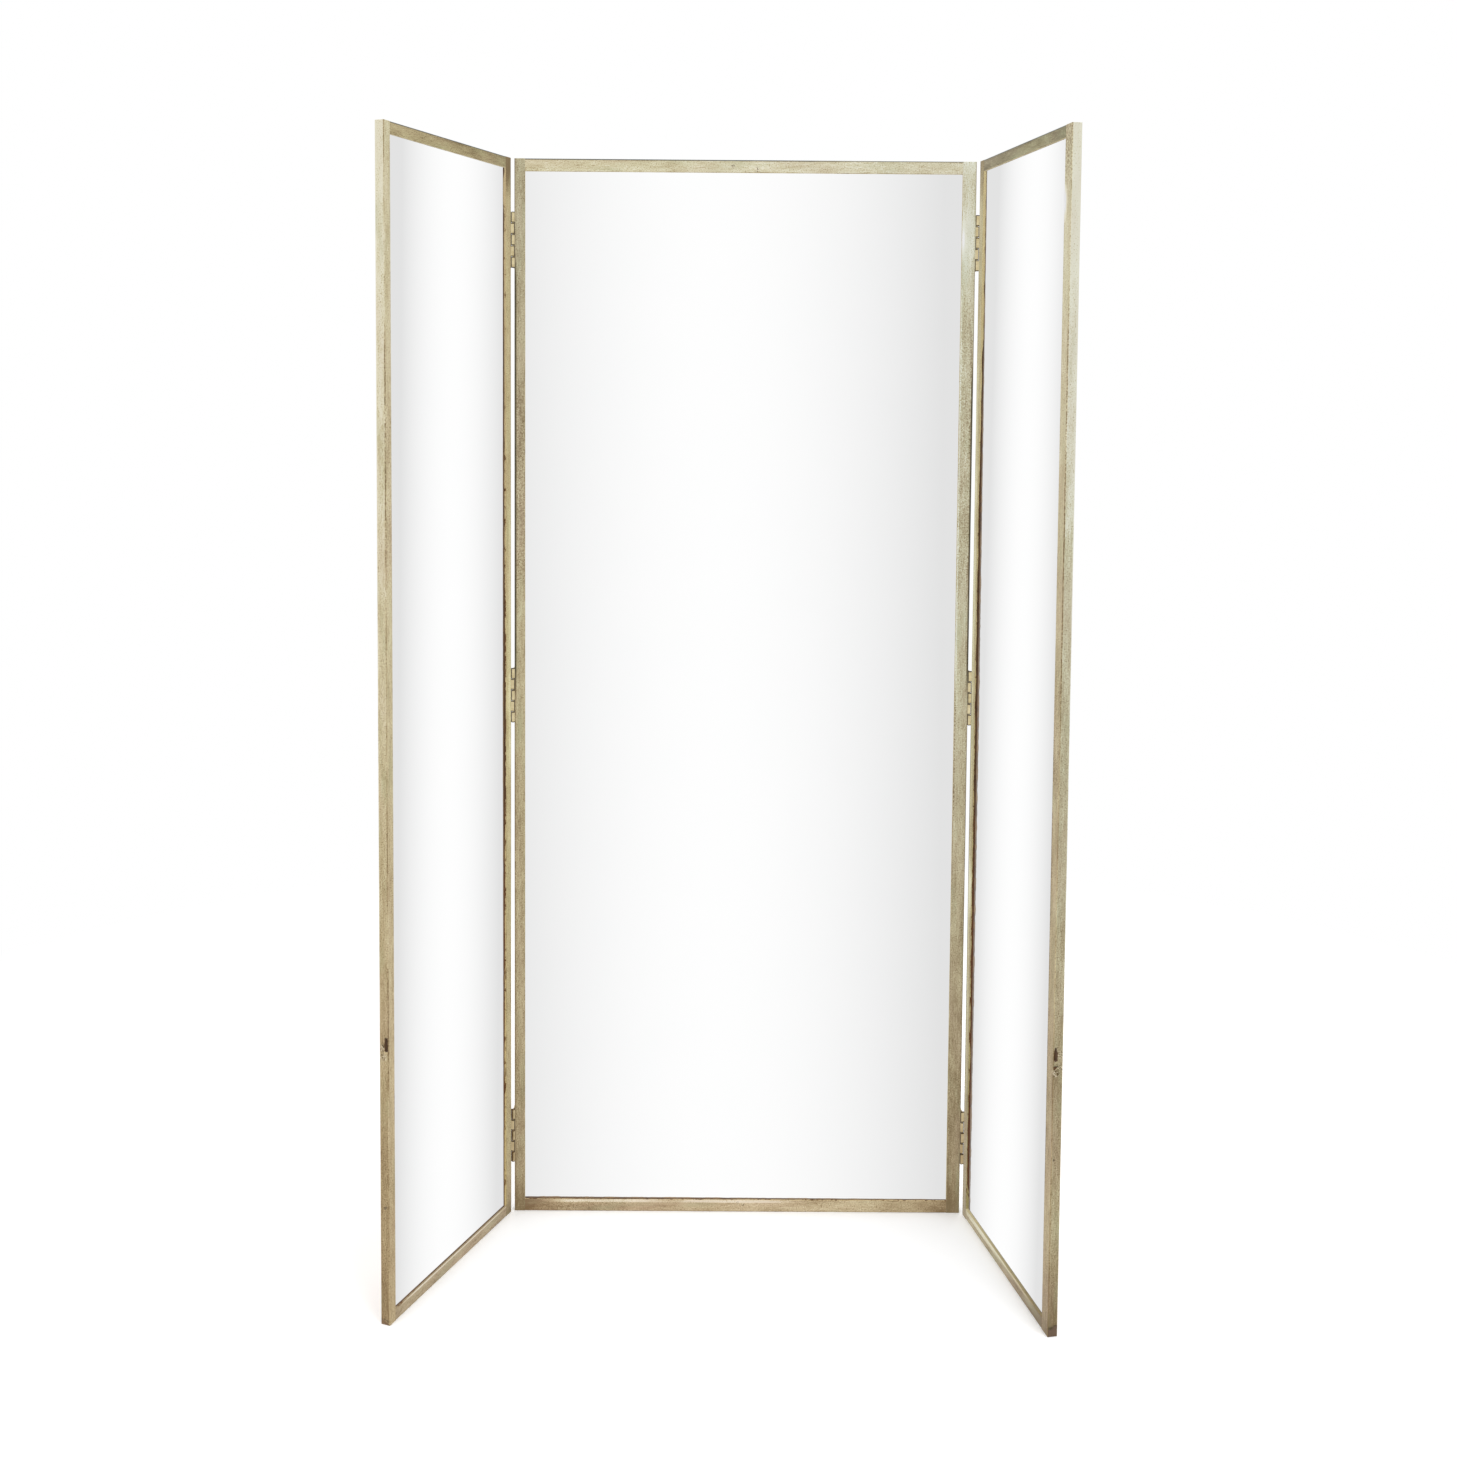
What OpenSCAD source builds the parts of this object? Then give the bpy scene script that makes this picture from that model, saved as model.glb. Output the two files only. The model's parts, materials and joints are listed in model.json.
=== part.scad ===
// Floor mirror of three panels: a centre panel and two wings half its width, hung on six butt hinges.
// Each panel is a wooden frame under thin brass sheet, with mirror glass held from behind.
// Front is -Y, up is +Z. The origin is the middle of the centre panel's foot.

/* [Overall] */
// Height of all three panels
panel_h = 1750; // [1300:10:2100]
// Width of the centre panel
centre_w = 748; // [560:2:1000]
// Space left between the two wings' outer edges when both are folded shut
shut_gap = 2; // [1.5:0.5:10]
// Angle that the left wing is turned to the front, counted from flat
left_turn = 68.5; // [0:0.5:180]
// Angle that the right wing is turned to the front, counted from flat
right_turn = 79.5; // [0:0.5:180]

/* [Frame bars] */
// Width of the centre panel's left stile
centre_left_stile_w = 17; // [16:0.5:40]
// Width of the centre panel's right stile
centre_right_stile_w = 22; // [16:0.5:40]
// Width of the centre panel's rails
centre_rail_w = 20; // [16:0.5:40]
// Width of the wings' stiles on their hinge side
wing_stile_w = 17.5; // [16:0.5:40]
// Width of the left wing's outer stile
left_outer_stile_w = 16; // [16:0.5:40]
// Width of the right wing's outer stile
right_outer_stile_w = 23; // [16:0.5:40]
// Width of the wings' rails
wing_rail_w = 17.5; // [16:0.5:40]
// Depth of the lip in front of the glass, brass included
lip_t = 5; // [4:0.5:8]
// How far the rebate runs in behind the lip
rebate_w = 7; // [5:0.5:8]
// How far the rails' glued tenons run on past the rebate's sides
tenon_grip = 2; // [1:0.5:4]
// Thickness of the tenons
tenon_t = 5; // [3:0.5:6]
// Shoulder left above and below a tenon
tenon_shoulder = 2; // [1:0.5:3]

/* [Brass sheet] */
// Thickness of the sheet round the bars
clad_t = 0.8; // [0.5:0.1:1.4]
// Width of the sheet's return on the back of a bar
return_w = 6; // [5:0.5:7]
// Distance between the tacks, at about this pitch
tack_pitch = 250; // [120:10:400]
// Distance from the end of a bar to its first tack
tack_end = 60; // [40:5:100]
// Distance from the outer side of a bar to its tacks
tack_inset = 3; // [2.5:0.1:3.5]
// Diameter of a tack's shank
tack_d = 1.2; // [1:0.1:1.4]
// Length of a tack's shank
tack_l = 4.5; // [3:0.5:5]
// Diameter of a tack's head
tack_head_d = 3; // [2:0.2:4]
// Thickness of a tack's head
tack_head_t = 0.7; // [0.4:0.1:1.2]

/* [Glass and back] */
// Thickness of the mirror glass
glass_t = 4; // [3:0.5:6]
// Thickness of the paper sheet behind the glass
backing_t = 0.5; // [0.3:0.1:1.5]
// Thickness of the plywood back board
board_t = 3; // [3:0.5:6]
// Space between the glass and the rebate's sides and top
glass_play = 1; // [0.5:0.1:2]
// Diameter of the headless sprigs that hold the board
sprig_d = 1.4; // [1:0.1:2]
// Length of a sprig inside the wood
sprig_bite = 5; // [3:0.5:6]
// Length of a sprig that lies over the board
sprig_reach = 6; // [4:0.5:10]
// Wood left between a sprig and the back of the bar
sprig_cover = 0.3; // [0.2:0.1:2]

/* [Hinges] */
// Length of a hinge
hinge_l = 90; // [60:1:120]
// Distance from a panel's end to the middle of the nearest hinge
hinge_inset = 131; // [100:1:250]
// Diameter of the knuckles
knuckle_d = 5.2; // [4.6:0.2:12]
// Bevel at the ends of a knuckle
knuckle_bevel = 0.4; // [0.2:0.1:0.8]
// Space between two knuckles along the pin
knuckle_gap = 0.8; // [0.3:0.1:1.2]
// Space round a knuckle as the wing turns
knuckle_clear = 0.3; // [0.3:0.1:0.8]
// Least distance of the pin's middle in front of the panels
pin_stand = 2.4; // [2.2:0.1:8]
// Diameter of the hinge pin
hinge_pin_d = 2.4; // [2:0.2:5]
// Space between the pin and its bore, all round
pin_clear = 0.05; // [0.02:0.01:0.1]
// Thickness of a hinge leaf
leaf_t = 1.8; // [1.6:0.1:2.4]
// Space between the two leaves with the panels flat
leaf_play = 0.3; // [0.3:0.1:1]
// How far a leaf runs back from the frame's front face
leaf_reach = 12.5; // [11:0.5:13]
// Distance from the frame's front face to the hinge screws
screw_set = 6.5; // [5:0.5:7.5]
// Distance between the screws along a leaf
screw_pitch = 32; // [22:1:36]
// Diameter of a screw's shank
screw_d = 3; // [2.5:0.1:3.5]
// Diameter of a screw's head
screw_head_d = 6; // [5:0.2:7]
// Depth of a screw's countersunk head
screw_head_h = 1.4; // [1:0.1:1.5]
// Space round a screw in its holes
screw_clear = 0.05; // [0.02:0.01:0.2]
// Depth of a screw's head below the leaf
screw_sink = 0.1; // [0:0.05:0.2]
// Width of the slot in a screw's head
screw_slot_w = 0.8; // [0.5:0.1:1.2]
// Depth of the slot in a screw's head
screw_slot_h = 0.6; // [0.4:0.1:0.8]
// Wood left between a screw's point and the rebate
screw_cover = 1.5; // [1:0.5:3]

/* [Catch and wear] */
// Height of the empty catch mortises above the floor
catch_z = 421; // [300:1:900]
// Height of a catch mortise
catch_h = 21; // [12:1:30]
// Width of a catch mortise, back from the front sheet
catch_w = 5.6; // [4.5:0.1:8]
// Depth of a catch mortise into the stile
catch_depth = 7; // [4:0.5:8]
// Distance from the catch mortise's middle down to the torn notch on the right wing
tear_drop = 20; // [16:1:40]
// Height of the torn notch
tear_h = 5; // [3:0.5:8]
// Width of the torn notch
tear_w = 7.5; // [4:0.5:9]
// Height of the old nail hole in the left wing's outer side
left_nail_z = 175; // [100:1:300]
// Height of the old nail hole in the right wing's outer side
right_nail_z = 264; // [100:1:300]
// Distance from the front face to the left wing's nail hole
left_nail_set = 7.5; // [3:0.5:11]
// Distance from the front face to the right wing's nail hole
right_nail_set = 4.5; // [3:0.5:11]
// Diameter of the nail holes
nail_hole_d = 1.8; // [1:0.1:3]
// Depth of the nail holes
nail_hole_l = 5; // [2:0.5:8]
// Height to which the sheet is worn off the left wing's foot
left_wear_h = 8; // [4:0.5:14]
// Height to which the sheet is torn off the right wing's foot
right_wear_h = 17; // [6:0.5:22]

/* [Hidden] */
$fn = 24;
// How far a tenon laps its own rail, so that the two are one piece.
lap = 0.01;
// How far a cut runs past the face that it cuts.
over = 1;

back_recess = sprig_d + clad_t + sprig_cover;
glass_y = lip_t;
backing_y = glass_y + glass_t;
board_y = backing_y + backing_t;
sprig_y = board_y + board_t + sprig_d / 2;
frame_t = board_y + board_t + back_recess;

wing_w = (centre_w - shut_gap) / 2;

tenon_l = rebate_w + tenon_grip;

knuckle_r = knuckle_d / 2;
knuckle_count = 5;
knuckle_l = (hinge_l - (knuckle_count - 1) * knuckle_gap) / knuckle_count;
// The pin stands so far to the side of each panel and in front of it
// that a knuckle clears the corners of the bars.
pin_side = leaf_t + leaf_play / 2;
corner_proud = sqrt(max(0, pow(knuckle_r + knuckle_clear, 2) - pow(pin_side, 2)));
pin_proud = max(pin_stand, corner_proud);
pin_x = centre_w / 2 + pin_side;
pin_y = -frame_t / 2 - pin_proud;
leaf_start = knuckle_r + knuckle_clear;
leaf_end = pin_proud + leaf_reach;
hinge_wall = min(centre_left_stile_w, centre_right_stile_w, wing_stile_w) - rebate_w;
screw_l = hinge_wall - screw_cover;
screw_tip = screw_d;

top_z = panel_h - hinge_inset;
middle_z = panel_h / 2;
bottom_z = hinge_inset;

// A panel is [left end, width, left stile, right stile, rails], with all three panels flat.
centre = [-centre_w / 2, centre_w, centre_left_stile_w, centre_right_stile_w, centre_rail_w];
left_wing = [-pin_x - pin_side - wing_w, wing_w, left_outer_stile_w, wing_stile_w, wing_rail_w];
right_wing = [pin_x + pin_side, wing_w, wing_stile_w, right_outer_stile_w, wing_rail_w];

// Which knuckles belong to the leaf on the right of the pin, and to the one on the left.
right_leaf_knuckles = [0, 2, 4];
left_leaf_knuckles = [1, 3];

brass = [0.72, 0.67, 0.50];
hinge_brass = [0.76, 0.69, 0.49];
bare_wood = [0.36, 0.24, 0.13];
mirror_silver = [0.90, 0.92, 0.92];
grey_paper = [0.55, 0.52, 0.46];
plywood = [0.66, 0.50, 0.33];
steel = [0.55, 0.55, 0.53];

// ---- Places ----

// Turns what is drawn flat to where the left wing stands.
module on_left_wing() {
    translate([-pin_x, pin_y, 0]) rotate([0, 0, left_turn]) translate([pin_x, -pin_y, 0]) children();
}

// Turns what is drawn flat to where the right wing stands.
module on_right_wing() {
    translate([pin_x, pin_y, 0]) rotate([0, 0, -right_turn]) translate([-pin_x, -pin_y, 0]) children();
}

// In a panel's own place x runs from its left end, y back from its front face and z up.
module in_panel(panel) {
    translate([panel[0], -frame_t / 2, 0]) children();
}

// In a bar's own place x runs inwards from its outer side, y back from its front face and z along it.
module in_bar(panel, side) {
    if (side == "left") children();
    if (side == "right") translate([panel[1], 0, 0]) mirror([1, 0, 0]) children();
    if (side == "bottom") mirror([1, 0, -1]) children();
    if (side == "top") translate([0, 0, panel_h]) mirror([0, 0, 1]) mirror([1, 0, -1]) children();
}

function is_rail(side) = side == "bottom" || side == "top";
function bar_w(panel, side) = is_rail(side) ? panel[4] : side == "left" ? panel[2] : panel[3];
function bar_start(panel, side) = is_rail(side) ? panel[2] : 0;
function bar_l(panel, side) = is_rail(side) ? panel[1] - panel[2] - panel[3] : panel_h;

// Places along a bar for its tacks, and the places midway between them for the sprigs.
function tack_spots(panel, side) =
    let (l = bar_l(panel, side), count = max(1, round((l - 2 * tack_end) / tack_pitch)))
    [for (i = [0 : count]) bar_start(panel, side) + tack_end + i * (l - 2 * tack_end) / count];
function sprig_spots(panel, side) =
    let (tacks = tack_spots(panel, side))
    [for (i = [1 : len(tacks) - 1]) (tacks[i - 1] + tacks[i]) / 2];

hinge_heights = [bottom_z, middle_z, top_z];
screw_heights = [for (z = hinge_heights, i = [-1 : 1]) z + i * screw_pitch];

// A rod of the given diameter along x, from the origin.
module rod_x(d, l) {
    rotate([0, 90, 0]) cylinder(d = d, h = l);
}

// ---- Bars ----

// Section of the sheet round a bar: its front, its outer side and a return on the back.
module cladding_section(w) {
    polygon([
        [0, 0], [w, 0], [w, clad_t], [clad_t, clad_t], [clad_t, frame_t - clad_t],
        [return_w, frame_t - clad_t], [return_w, frame_t], [0, frame_t]
    ]);
}

// The four tenons of a panel's rails, longer by a given length where they meet their rail.
module tenons(panel, extra) {
    low = clad_t + tenon_shoulder;
    high = panel[4] - rebate_w - tenon_shoulder;
    for (x = [panel[2] - tenon_l, panel[1] - panel[3] - extra])
        for (z = [low, panel_h - high])
            translate([x, (frame_t - tenon_t) / 2, z]) cube([tenon_l + extra, tenon_t, high - low]);
}

// The space behind the lip that takes the glass, the paper and the board.
module rebate_space(panel) {
    edge = panel[4] - rebate_w;
    translate([panel[2] - rebate_w, lip_t, edge])
        cube([bar_l(panel, "top") + 2 * rebate_w, frame_t, panel_h - 2 * edge]);
}

module tack_holes(panel, side) {
    in_bar(panel, side)
        for (z = tack_spots(panel, side))
            translate([tack_inset, frame_t - tack_l, z])
                rotate([-90, 0, 0]) cylinder(d = tack_d + 2 * screw_clear, h = tack_l + over);
}

module sprig_holes(panel, side) {
    in_bar(panel, side)
        for (z = sprig_spots(panel, side))
            translate([bar_w(panel, side) - rebate_w - sprig_bite, sprig_y, z])
                rod_x(sprig_d + 2 * screw_clear, sprig_bite + over);
}

module hinge_screw_holes(panel, side) {
    in_bar(panel, side)
        for (z = screw_heights)
            translate([-over, screw_set, z])
                rod_x(screw_d + 2 * screw_clear, screw_l + screw_clear + over);
}

// One bar's wood. A rail keeps its own two tenons, and a stile is cut for those it takes.
module bar_wood(panel, side) {
    difference() {
        union() {
            in_bar(panel, side)
                translate([clad_t, clad_t, bar_start(panel, side)])
                    cube([bar_w(panel, side) - clad_t, frame_t - 2 * clad_t, bar_l(panel, side)]);
            if (side == "bottom") intersection() {
                tenons(panel, lap);
                cube([panel[1], frame_t, panel[4]]);
            }
            if (side == "top") intersection() {
                tenons(panel, lap);
                translate([0, 0, panel_h - panel[4]]) cube([panel[1], frame_t, panel[4]]);
            }
        }
        rebate_space(panel);
        if (!is_rail(side)) tenons(panel, 0);
        tack_holes(panel, side);
        sprig_holes(panel, side);
    }
}

// One bar's brass sheet, as long as its face shows.
module bar_sheet(panel, side) {
    difference() {
        in_bar(panel, side)
            translate([0, 0, bar_start(panel, side)])
                linear_extrude(bar_l(panel, side)) cladding_section(bar_w(panel, side));
        tack_holes(panel, side);
    }
}

// A wing's outer stile has the empty catch mortise and the old nail hole in its side.
module catch_cuts(panel, side, nail_z, nail_set) {
    in_bar(panel, side) {
        translate([-over, clad_t, catch_z - catch_h / 2]) cube([catch_depth + over, catch_w, catch_h]);
        translate([-over, nail_set, nail_z]) rod_x(nail_hole_d, nail_hole_l + over);
    }
}

// The small notch torn through the right wing's sheet below its catch mortise.
module torn_notch(panel, side) {
    in_bar(panel, side)
        translate([-over, clad_t, catch_z - tear_drop])
            rotate([90, 0, 90]) linear_extrude(over + clad_t)
                polygon([[0, tear_h / 2], [tear_w, tear_h / 2], [tear_w / 3, -tear_h / 2], [0, -tear_h / 2]]);
}

// The sheet worn off the left wing's foot: an arc that climbs to the back.
module left_foot_wear(panel, side) {
    reach = frame_t - 2 * clad_t;
    in_bar(panel, side)
        translate([-over, 0, 0]) rotate([90, 0, 90]) linear_extrude(over + clad_t)
            polygon(concat(
                [[frame_t + over, -over], [frame_t + over, left_wear_h]],
                [for (a = [90 : 15 : 180]) [frame_t + reach * cos(a), left_wear_h * sin(a)]],
                [[frame_t - reach, -over]]
            ));
}

// The sheet torn off the right wing's foot, higher at the back than at the front.
module right_foot_wear(panel, side) {
    h = right_wear_h;
    in_bar(panel, side)
        translate([-over, 0, 0]) rotate([90, 0, 90]) linear_extrude(over + clad_t)
            polygon([
                [clad_t, -over], [clad_t, h * 0.62], [frame_t * 0.25, h * 0.7], [frame_t * 0.45, h * 0.66],
                [frame_t * 0.7, h * 0.95], [frame_t, h], [frame_t + over, h], [frame_t + over, -over]
            ]);
}

// ---- Glass and back ----

// A sheet that stands in the rebate, on the bottom rail.
module rebate_sheet(panel, y, t) {
    edge = panel[4] - rebate_w;
    in_panel(panel)
        translate([panel[2] - rebate_w + glass_play, y, edge])
            cube([bar_l(panel, "top") + 2 * (rebate_w - glass_play), t, panel_h - 2 * edge - glass_play]);
}

// Sprigs driven sideways into all four bars, flat against the back board.
module sprigs(panel) {
    in_panel(panel)
        for (side = ["left", "right", "bottom", "top"])
            in_bar(panel, side)
                for (z = sprig_spots(panel, side))
                    translate([bar_w(panel, side) - rebate_w - sprig_bite, sprig_y, z])
                        rod_x(sprig_d, sprig_bite + sprig_reach);
}

// A tack with a low round head, driven forwards into the back of a bar.
module tack() {
    rim_t = tack_head_t / 2;
    rotate([90, 0, 0]) cylinder(d = tack_d, h = tack_l);
    rotate([-90, 0, 0]) {
        cylinder(d = tack_head_d, h = rim_t);
        translate([0, 0, rim_t]) cylinder(d1 = tack_head_d, d2 = tack_head_d / 2, h = tack_head_t - rim_t);
    }
}

module tacks(panel) {
    in_panel(panel)
        for (side = ["left", "right", "bottom", "top"])
            in_bar(panel, side)
                for (z = tack_spots(panel, side))
                    translate([tack_inset, frame_t, z]) tack();
}

// ---- Hinges ----

// In a hinge's own place z runs along the pin, y back from it and x to the leaf's own panel.
module at_hinge(pin_side_x, z, leaf_side) {
    translate([pin_side_x, pin_y, z])
        if (leaf_side == "right") children();
        else mirror([1, 0, 0]) children();
}

// One knuckle, with its ends bevelled.
module knuckle() {
    straight = knuckle_l - 2 * knuckle_bevel;
    end_r = knuckle_r - knuckle_bevel;
    cylinder(r1 = end_r, r2 = knuckle_r, h = knuckle_bevel);
    translate([0, 0, knuckle_bevel]) cylinder(r = knuckle_r, h = straight);
    translate([0, 0, knuckle_bevel + straight]) cylinder(r1 = knuckle_r, r2 = end_r, h = knuckle_bevel);
}

// A screw along x: countersunk head with a slot, shank and point.
module screw_body(d, head_d, l) {
    rod_x(d, l);
    rotate([0, 90, 0]) cylinder(d1 = head_d, d2 = d, h = screw_head_h);
}

// A leaf on the panel's side face, notched where the other leaf's knuckles turn.
module leaf(knuckles) {
    difference() {
        union() {
            translate([leaf_play / 2, leaf_start, -hinge_l / 2])
                cube([leaf_t, leaf_end - leaf_start, hinge_l]);
            for (i = knuckles)
                translate([0, 0, -hinge_l / 2 + i * (knuckle_l + knuckle_gap)]) {
                    knuckle();
                    translate([leaf_play / 2, 0, 0]) cube([leaf_t, leaf_end, knuckle_l]);
                }
        }
        translate([0, 0, -hinge_l]) cylinder(d = hinge_pin_d + 2 * pin_clear, h = 2 * hinge_l);
        for (i = [-1 : 1])
            translate([leaf_play / 2, pin_proud + screw_set, i * screw_pitch]) {
                translate([screw_sink, 0, 0])
                    screw_body(screw_d + 2 * screw_clear, screw_head_d + 2 * screw_clear, 2 * leaf_t);
                translate([-over, 0, 0]) rod_x(screw_head_d + 2 * screw_clear, over + screw_sink);
            }
    }
}

// The hinge's pin, with bevelled ends.
module hinge_pin() {
    bevel = knuckle_bevel;
    d = hinge_pin_d;
    translate([0, 0, -hinge_l / 2]) {
        cylinder(d1 = d - 2 * bevel, d2 = d, h = bevel);
        translate([0, 0, bevel]) cylinder(d = d, h = hinge_l - 2 * bevel);
        translate([0, 0, hinge_l - bevel]) cylinder(d1 = d, d2 = d - 2 * bevel, h = bevel);
    }
}

// One wood screw, from its head in the leaf to its point in the stile.
module hinge_screw() {
    under_leaf = leaf_t - screw_sink;
    shank = under_leaf + screw_l - screw_tip;
    difference() {
        union() {
            screw_body(screw_d, screw_head_d, shank);
            translate([shank, 0, 0])
                rotate([0, 90, 0]) cylinder(d1 = screw_d, d2 = screw_d / 5, h = screw_tip);
        }
        translate([-over, -screw_head_d, -screw_slot_w / 2])
            cube([over + screw_slot_h, 2 * screw_head_d, screw_slot_w]);
    }
}

// All the screws of one side's three leaves on a panel.
module leaf_screws(pin_side_x, leaf_side) {
    for (z = screw_heights)
        at_hinge(pin_side_x, z, leaf_side)
            translate([leaf_play / 2 + screw_sink, pin_proud + screw_set, 0]) hinge_screw();
}

// ---- Centre panel ----

module centre_left_stile() {
    color(bare_wood) in_panel(centre) difference() {
        bar_wood(centre, "left");
        hinge_screw_holes(centre, "left");
    }
}

module centre_right_stile() {
    color(bare_wood) in_panel(centre) difference() {
        bar_wood(centre, "right");
        hinge_screw_holes(centre, "right");
    }
}

module centre_top_rail() { color(bare_wood) in_panel(centre) bar_wood(centre, "top"); }
module centre_bottom_rail() { color(bare_wood) in_panel(centre) bar_wood(centre, "bottom"); }

module centre_left_stile_cladding() {
    color(brass) in_panel(centre) difference() {
        bar_sheet(centre, "left");
        hinge_screw_holes(centre, "left");
    }
}

module centre_right_stile_cladding() {
    color(brass) in_panel(centre) difference() {
        bar_sheet(centre, "right");
        hinge_screw_holes(centre, "right");
    }
}

module centre_top_rail_cladding() { color(brass) in_panel(centre) bar_sheet(centre, "top"); }
module centre_bottom_rail_cladding() { color(brass) in_panel(centre) bar_sheet(centre, "bottom"); }

module centre_mirror_glass() { color(mirror_silver) rebate_sheet(centre, glass_y, glass_t); }
module centre_backing_sheet() { color(grey_paper) rebate_sheet(centre, backing_y, backing_t); }
module centre_back_board() { color(plywood) rebate_sheet(centre, board_y, board_t); }
module centre_back_sprigs() { color(steel) sprigs(centre); }
module centre_cladding_tacks() { color(hinge_brass) tacks(centre); }

module centre_hinge_screws() {
    color(hinge_brass) {
        leaf_screws(-pin_x, "right");
        leaf_screws(pin_x, "left");
    }
}

// ---- Left wing ----

module left_wing_outer_stile() {
    color(bare_wood) on_left_wing() in_panel(left_wing) difference() {
        bar_wood(left_wing, "left");
        catch_cuts(left_wing, "left", left_nail_z, left_nail_set);
    }
}

module left_wing_hinge_stile() {
    color(bare_wood) on_left_wing() in_panel(left_wing) difference() {
        bar_wood(left_wing, "right");
        hinge_screw_holes(left_wing, "right");
    }
}

module left_wing_top_rail() {
    color(bare_wood) on_left_wing() in_panel(left_wing) bar_wood(left_wing, "top");
}

module left_wing_bottom_rail() {
    color(bare_wood) on_left_wing() in_panel(left_wing) bar_wood(left_wing, "bottom");
}

module left_wing_outer_stile_cladding() {
    color(brass) on_left_wing() in_panel(left_wing) difference() {
        bar_sheet(left_wing, "left");
        catch_cuts(left_wing, "left", left_nail_z, left_nail_set);
        left_foot_wear(left_wing, "left");
    }
}

module left_wing_hinge_stile_cladding() {
    color(brass) on_left_wing() in_panel(left_wing) difference() {
        bar_sheet(left_wing, "right");
        hinge_screw_holes(left_wing, "right");
    }
}

module left_wing_top_rail_cladding() {
    color(brass) on_left_wing() in_panel(left_wing) bar_sheet(left_wing, "top");
}

module left_wing_bottom_rail_cladding() {
    color(brass) on_left_wing() in_panel(left_wing) bar_sheet(left_wing, "bottom");
}

module left_wing_mirror_glass() {
    color(mirror_silver) on_left_wing() rebate_sheet(left_wing, glass_y, glass_t);
}

module left_wing_backing_sheet() {
    color(grey_paper) on_left_wing() rebate_sheet(left_wing, backing_y, backing_t);
}

module left_wing_back_board() { color(plywood) on_left_wing() rebate_sheet(left_wing, board_y, board_t); }
module left_wing_back_sprigs() { color(steel) on_left_wing() sprigs(left_wing); }
module left_wing_cladding_tacks() { color(hinge_brass) on_left_wing() tacks(left_wing); }
module left_wing_hinge_screws() { color(hinge_brass) on_left_wing() leaf_screws(-pin_x, "left"); }

// ---- Right wing ----

module right_wing_outer_stile() {
    color(bare_wood) on_right_wing() in_panel(right_wing) difference() {
        bar_wood(right_wing, "right");
        catch_cuts(right_wing, "right", right_nail_z, right_nail_set);
    }
}

module right_wing_hinge_stile() {
    color(bare_wood) on_right_wing() in_panel(right_wing) difference() {
        bar_wood(right_wing, "left");
        hinge_screw_holes(right_wing, "left");
    }
}

module right_wing_top_rail() {
    color(bare_wood) on_right_wing() in_panel(right_wing) bar_wood(right_wing, "top");
}

module right_wing_bottom_rail() {
    color(bare_wood) on_right_wing() in_panel(right_wing) bar_wood(right_wing, "bottom");
}

module right_wing_outer_stile_cladding() {
    color(brass) on_right_wing() in_panel(right_wing) difference() {
        bar_sheet(right_wing, "right");
        catch_cuts(right_wing, "right", right_nail_z, right_nail_set);
        torn_notch(right_wing, "right");
        right_foot_wear(right_wing, "right");
    }
}

module right_wing_hinge_stile_cladding() {
    color(brass) on_right_wing() in_panel(right_wing) difference() {
        bar_sheet(right_wing, "left");
        hinge_screw_holes(right_wing, "left");
    }
}

module right_wing_top_rail_cladding() {
    color(brass) on_right_wing() in_panel(right_wing) bar_sheet(right_wing, "top");
}

module right_wing_bottom_rail_cladding() {
    color(brass) on_right_wing() in_panel(right_wing) bar_sheet(right_wing, "bottom");
}

module right_wing_mirror_glass() {
    color(mirror_silver) on_right_wing() rebate_sheet(right_wing, glass_y, glass_t);
}

module right_wing_backing_sheet() {
    color(grey_paper) on_right_wing() rebate_sheet(right_wing, backing_y, backing_t);
}

module right_wing_back_board() { color(plywood) on_right_wing() rebate_sheet(right_wing, board_y, board_t); }
module right_wing_back_sprigs() { color(steel) on_right_wing() sprigs(right_wing); }
module right_wing_cladding_tacks() { color(hinge_brass) on_right_wing() tacks(right_wing); }
module right_wing_hinge_screws() { color(hinge_brass) on_right_wing() leaf_screws(pin_x, "right"); }

// ---- The six hinges: each leaf on the pin's right has three knuckles, each on its left two ----

module left_hinge_centre_leaf(z) {
    color(hinge_brass) at_hinge(-pin_x, z, "right") leaf(right_leaf_knuckles);
}

module left_hinge_wing_leaf(z) {
    color(hinge_brass) on_left_wing() at_hinge(-pin_x, z, "left") leaf(left_leaf_knuckles);
}

module right_hinge_centre_leaf(z) {
    color(hinge_brass) at_hinge(pin_x, z, "left") leaf(left_leaf_knuckles);
}

module right_hinge_wing_leaf(z) {
    color(hinge_brass) on_right_wing() at_hinge(pin_x, z, "right") leaf(right_leaf_knuckles);
}

module left_hinge_pin(z) { color(hinge_brass) at_hinge(-pin_x, z, "right") hinge_pin(); }
module right_hinge_pin(z) { color(hinge_brass) on_right_wing() at_hinge(pin_x, z, "right") hinge_pin(); }

module left_top_hinge_centre_leaf() { left_hinge_centre_leaf(top_z); }
module left_top_hinge_wing_leaf() { left_hinge_wing_leaf(top_z); }
module left_top_hinge_pin() { left_hinge_pin(top_z); }
module left_middle_hinge_centre_leaf() { left_hinge_centre_leaf(middle_z); }
module left_middle_hinge_wing_leaf() { left_hinge_wing_leaf(middle_z); }
module left_middle_hinge_pin() { left_hinge_pin(middle_z); }
module left_bottom_hinge_centre_leaf() { left_hinge_centre_leaf(bottom_z); }
module left_bottom_hinge_wing_leaf() { left_hinge_wing_leaf(bottom_z); }
module left_bottom_hinge_pin() { left_hinge_pin(bottom_z); }
module right_top_hinge_centre_leaf() { right_hinge_centre_leaf(top_z); }
module right_top_hinge_wing_leaf() { right_hinge_wing_leaf(top_z); }
module right_top_hinge_pin() { right_hinge_pin(top_z); }
module right_middle_hinge_centre_leaf() { right_hinge_centre_leaf(middle_z); }
module right_middle_hinge_wing_leaf() { right_hinge_wing_leaf(middle_z); }
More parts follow.
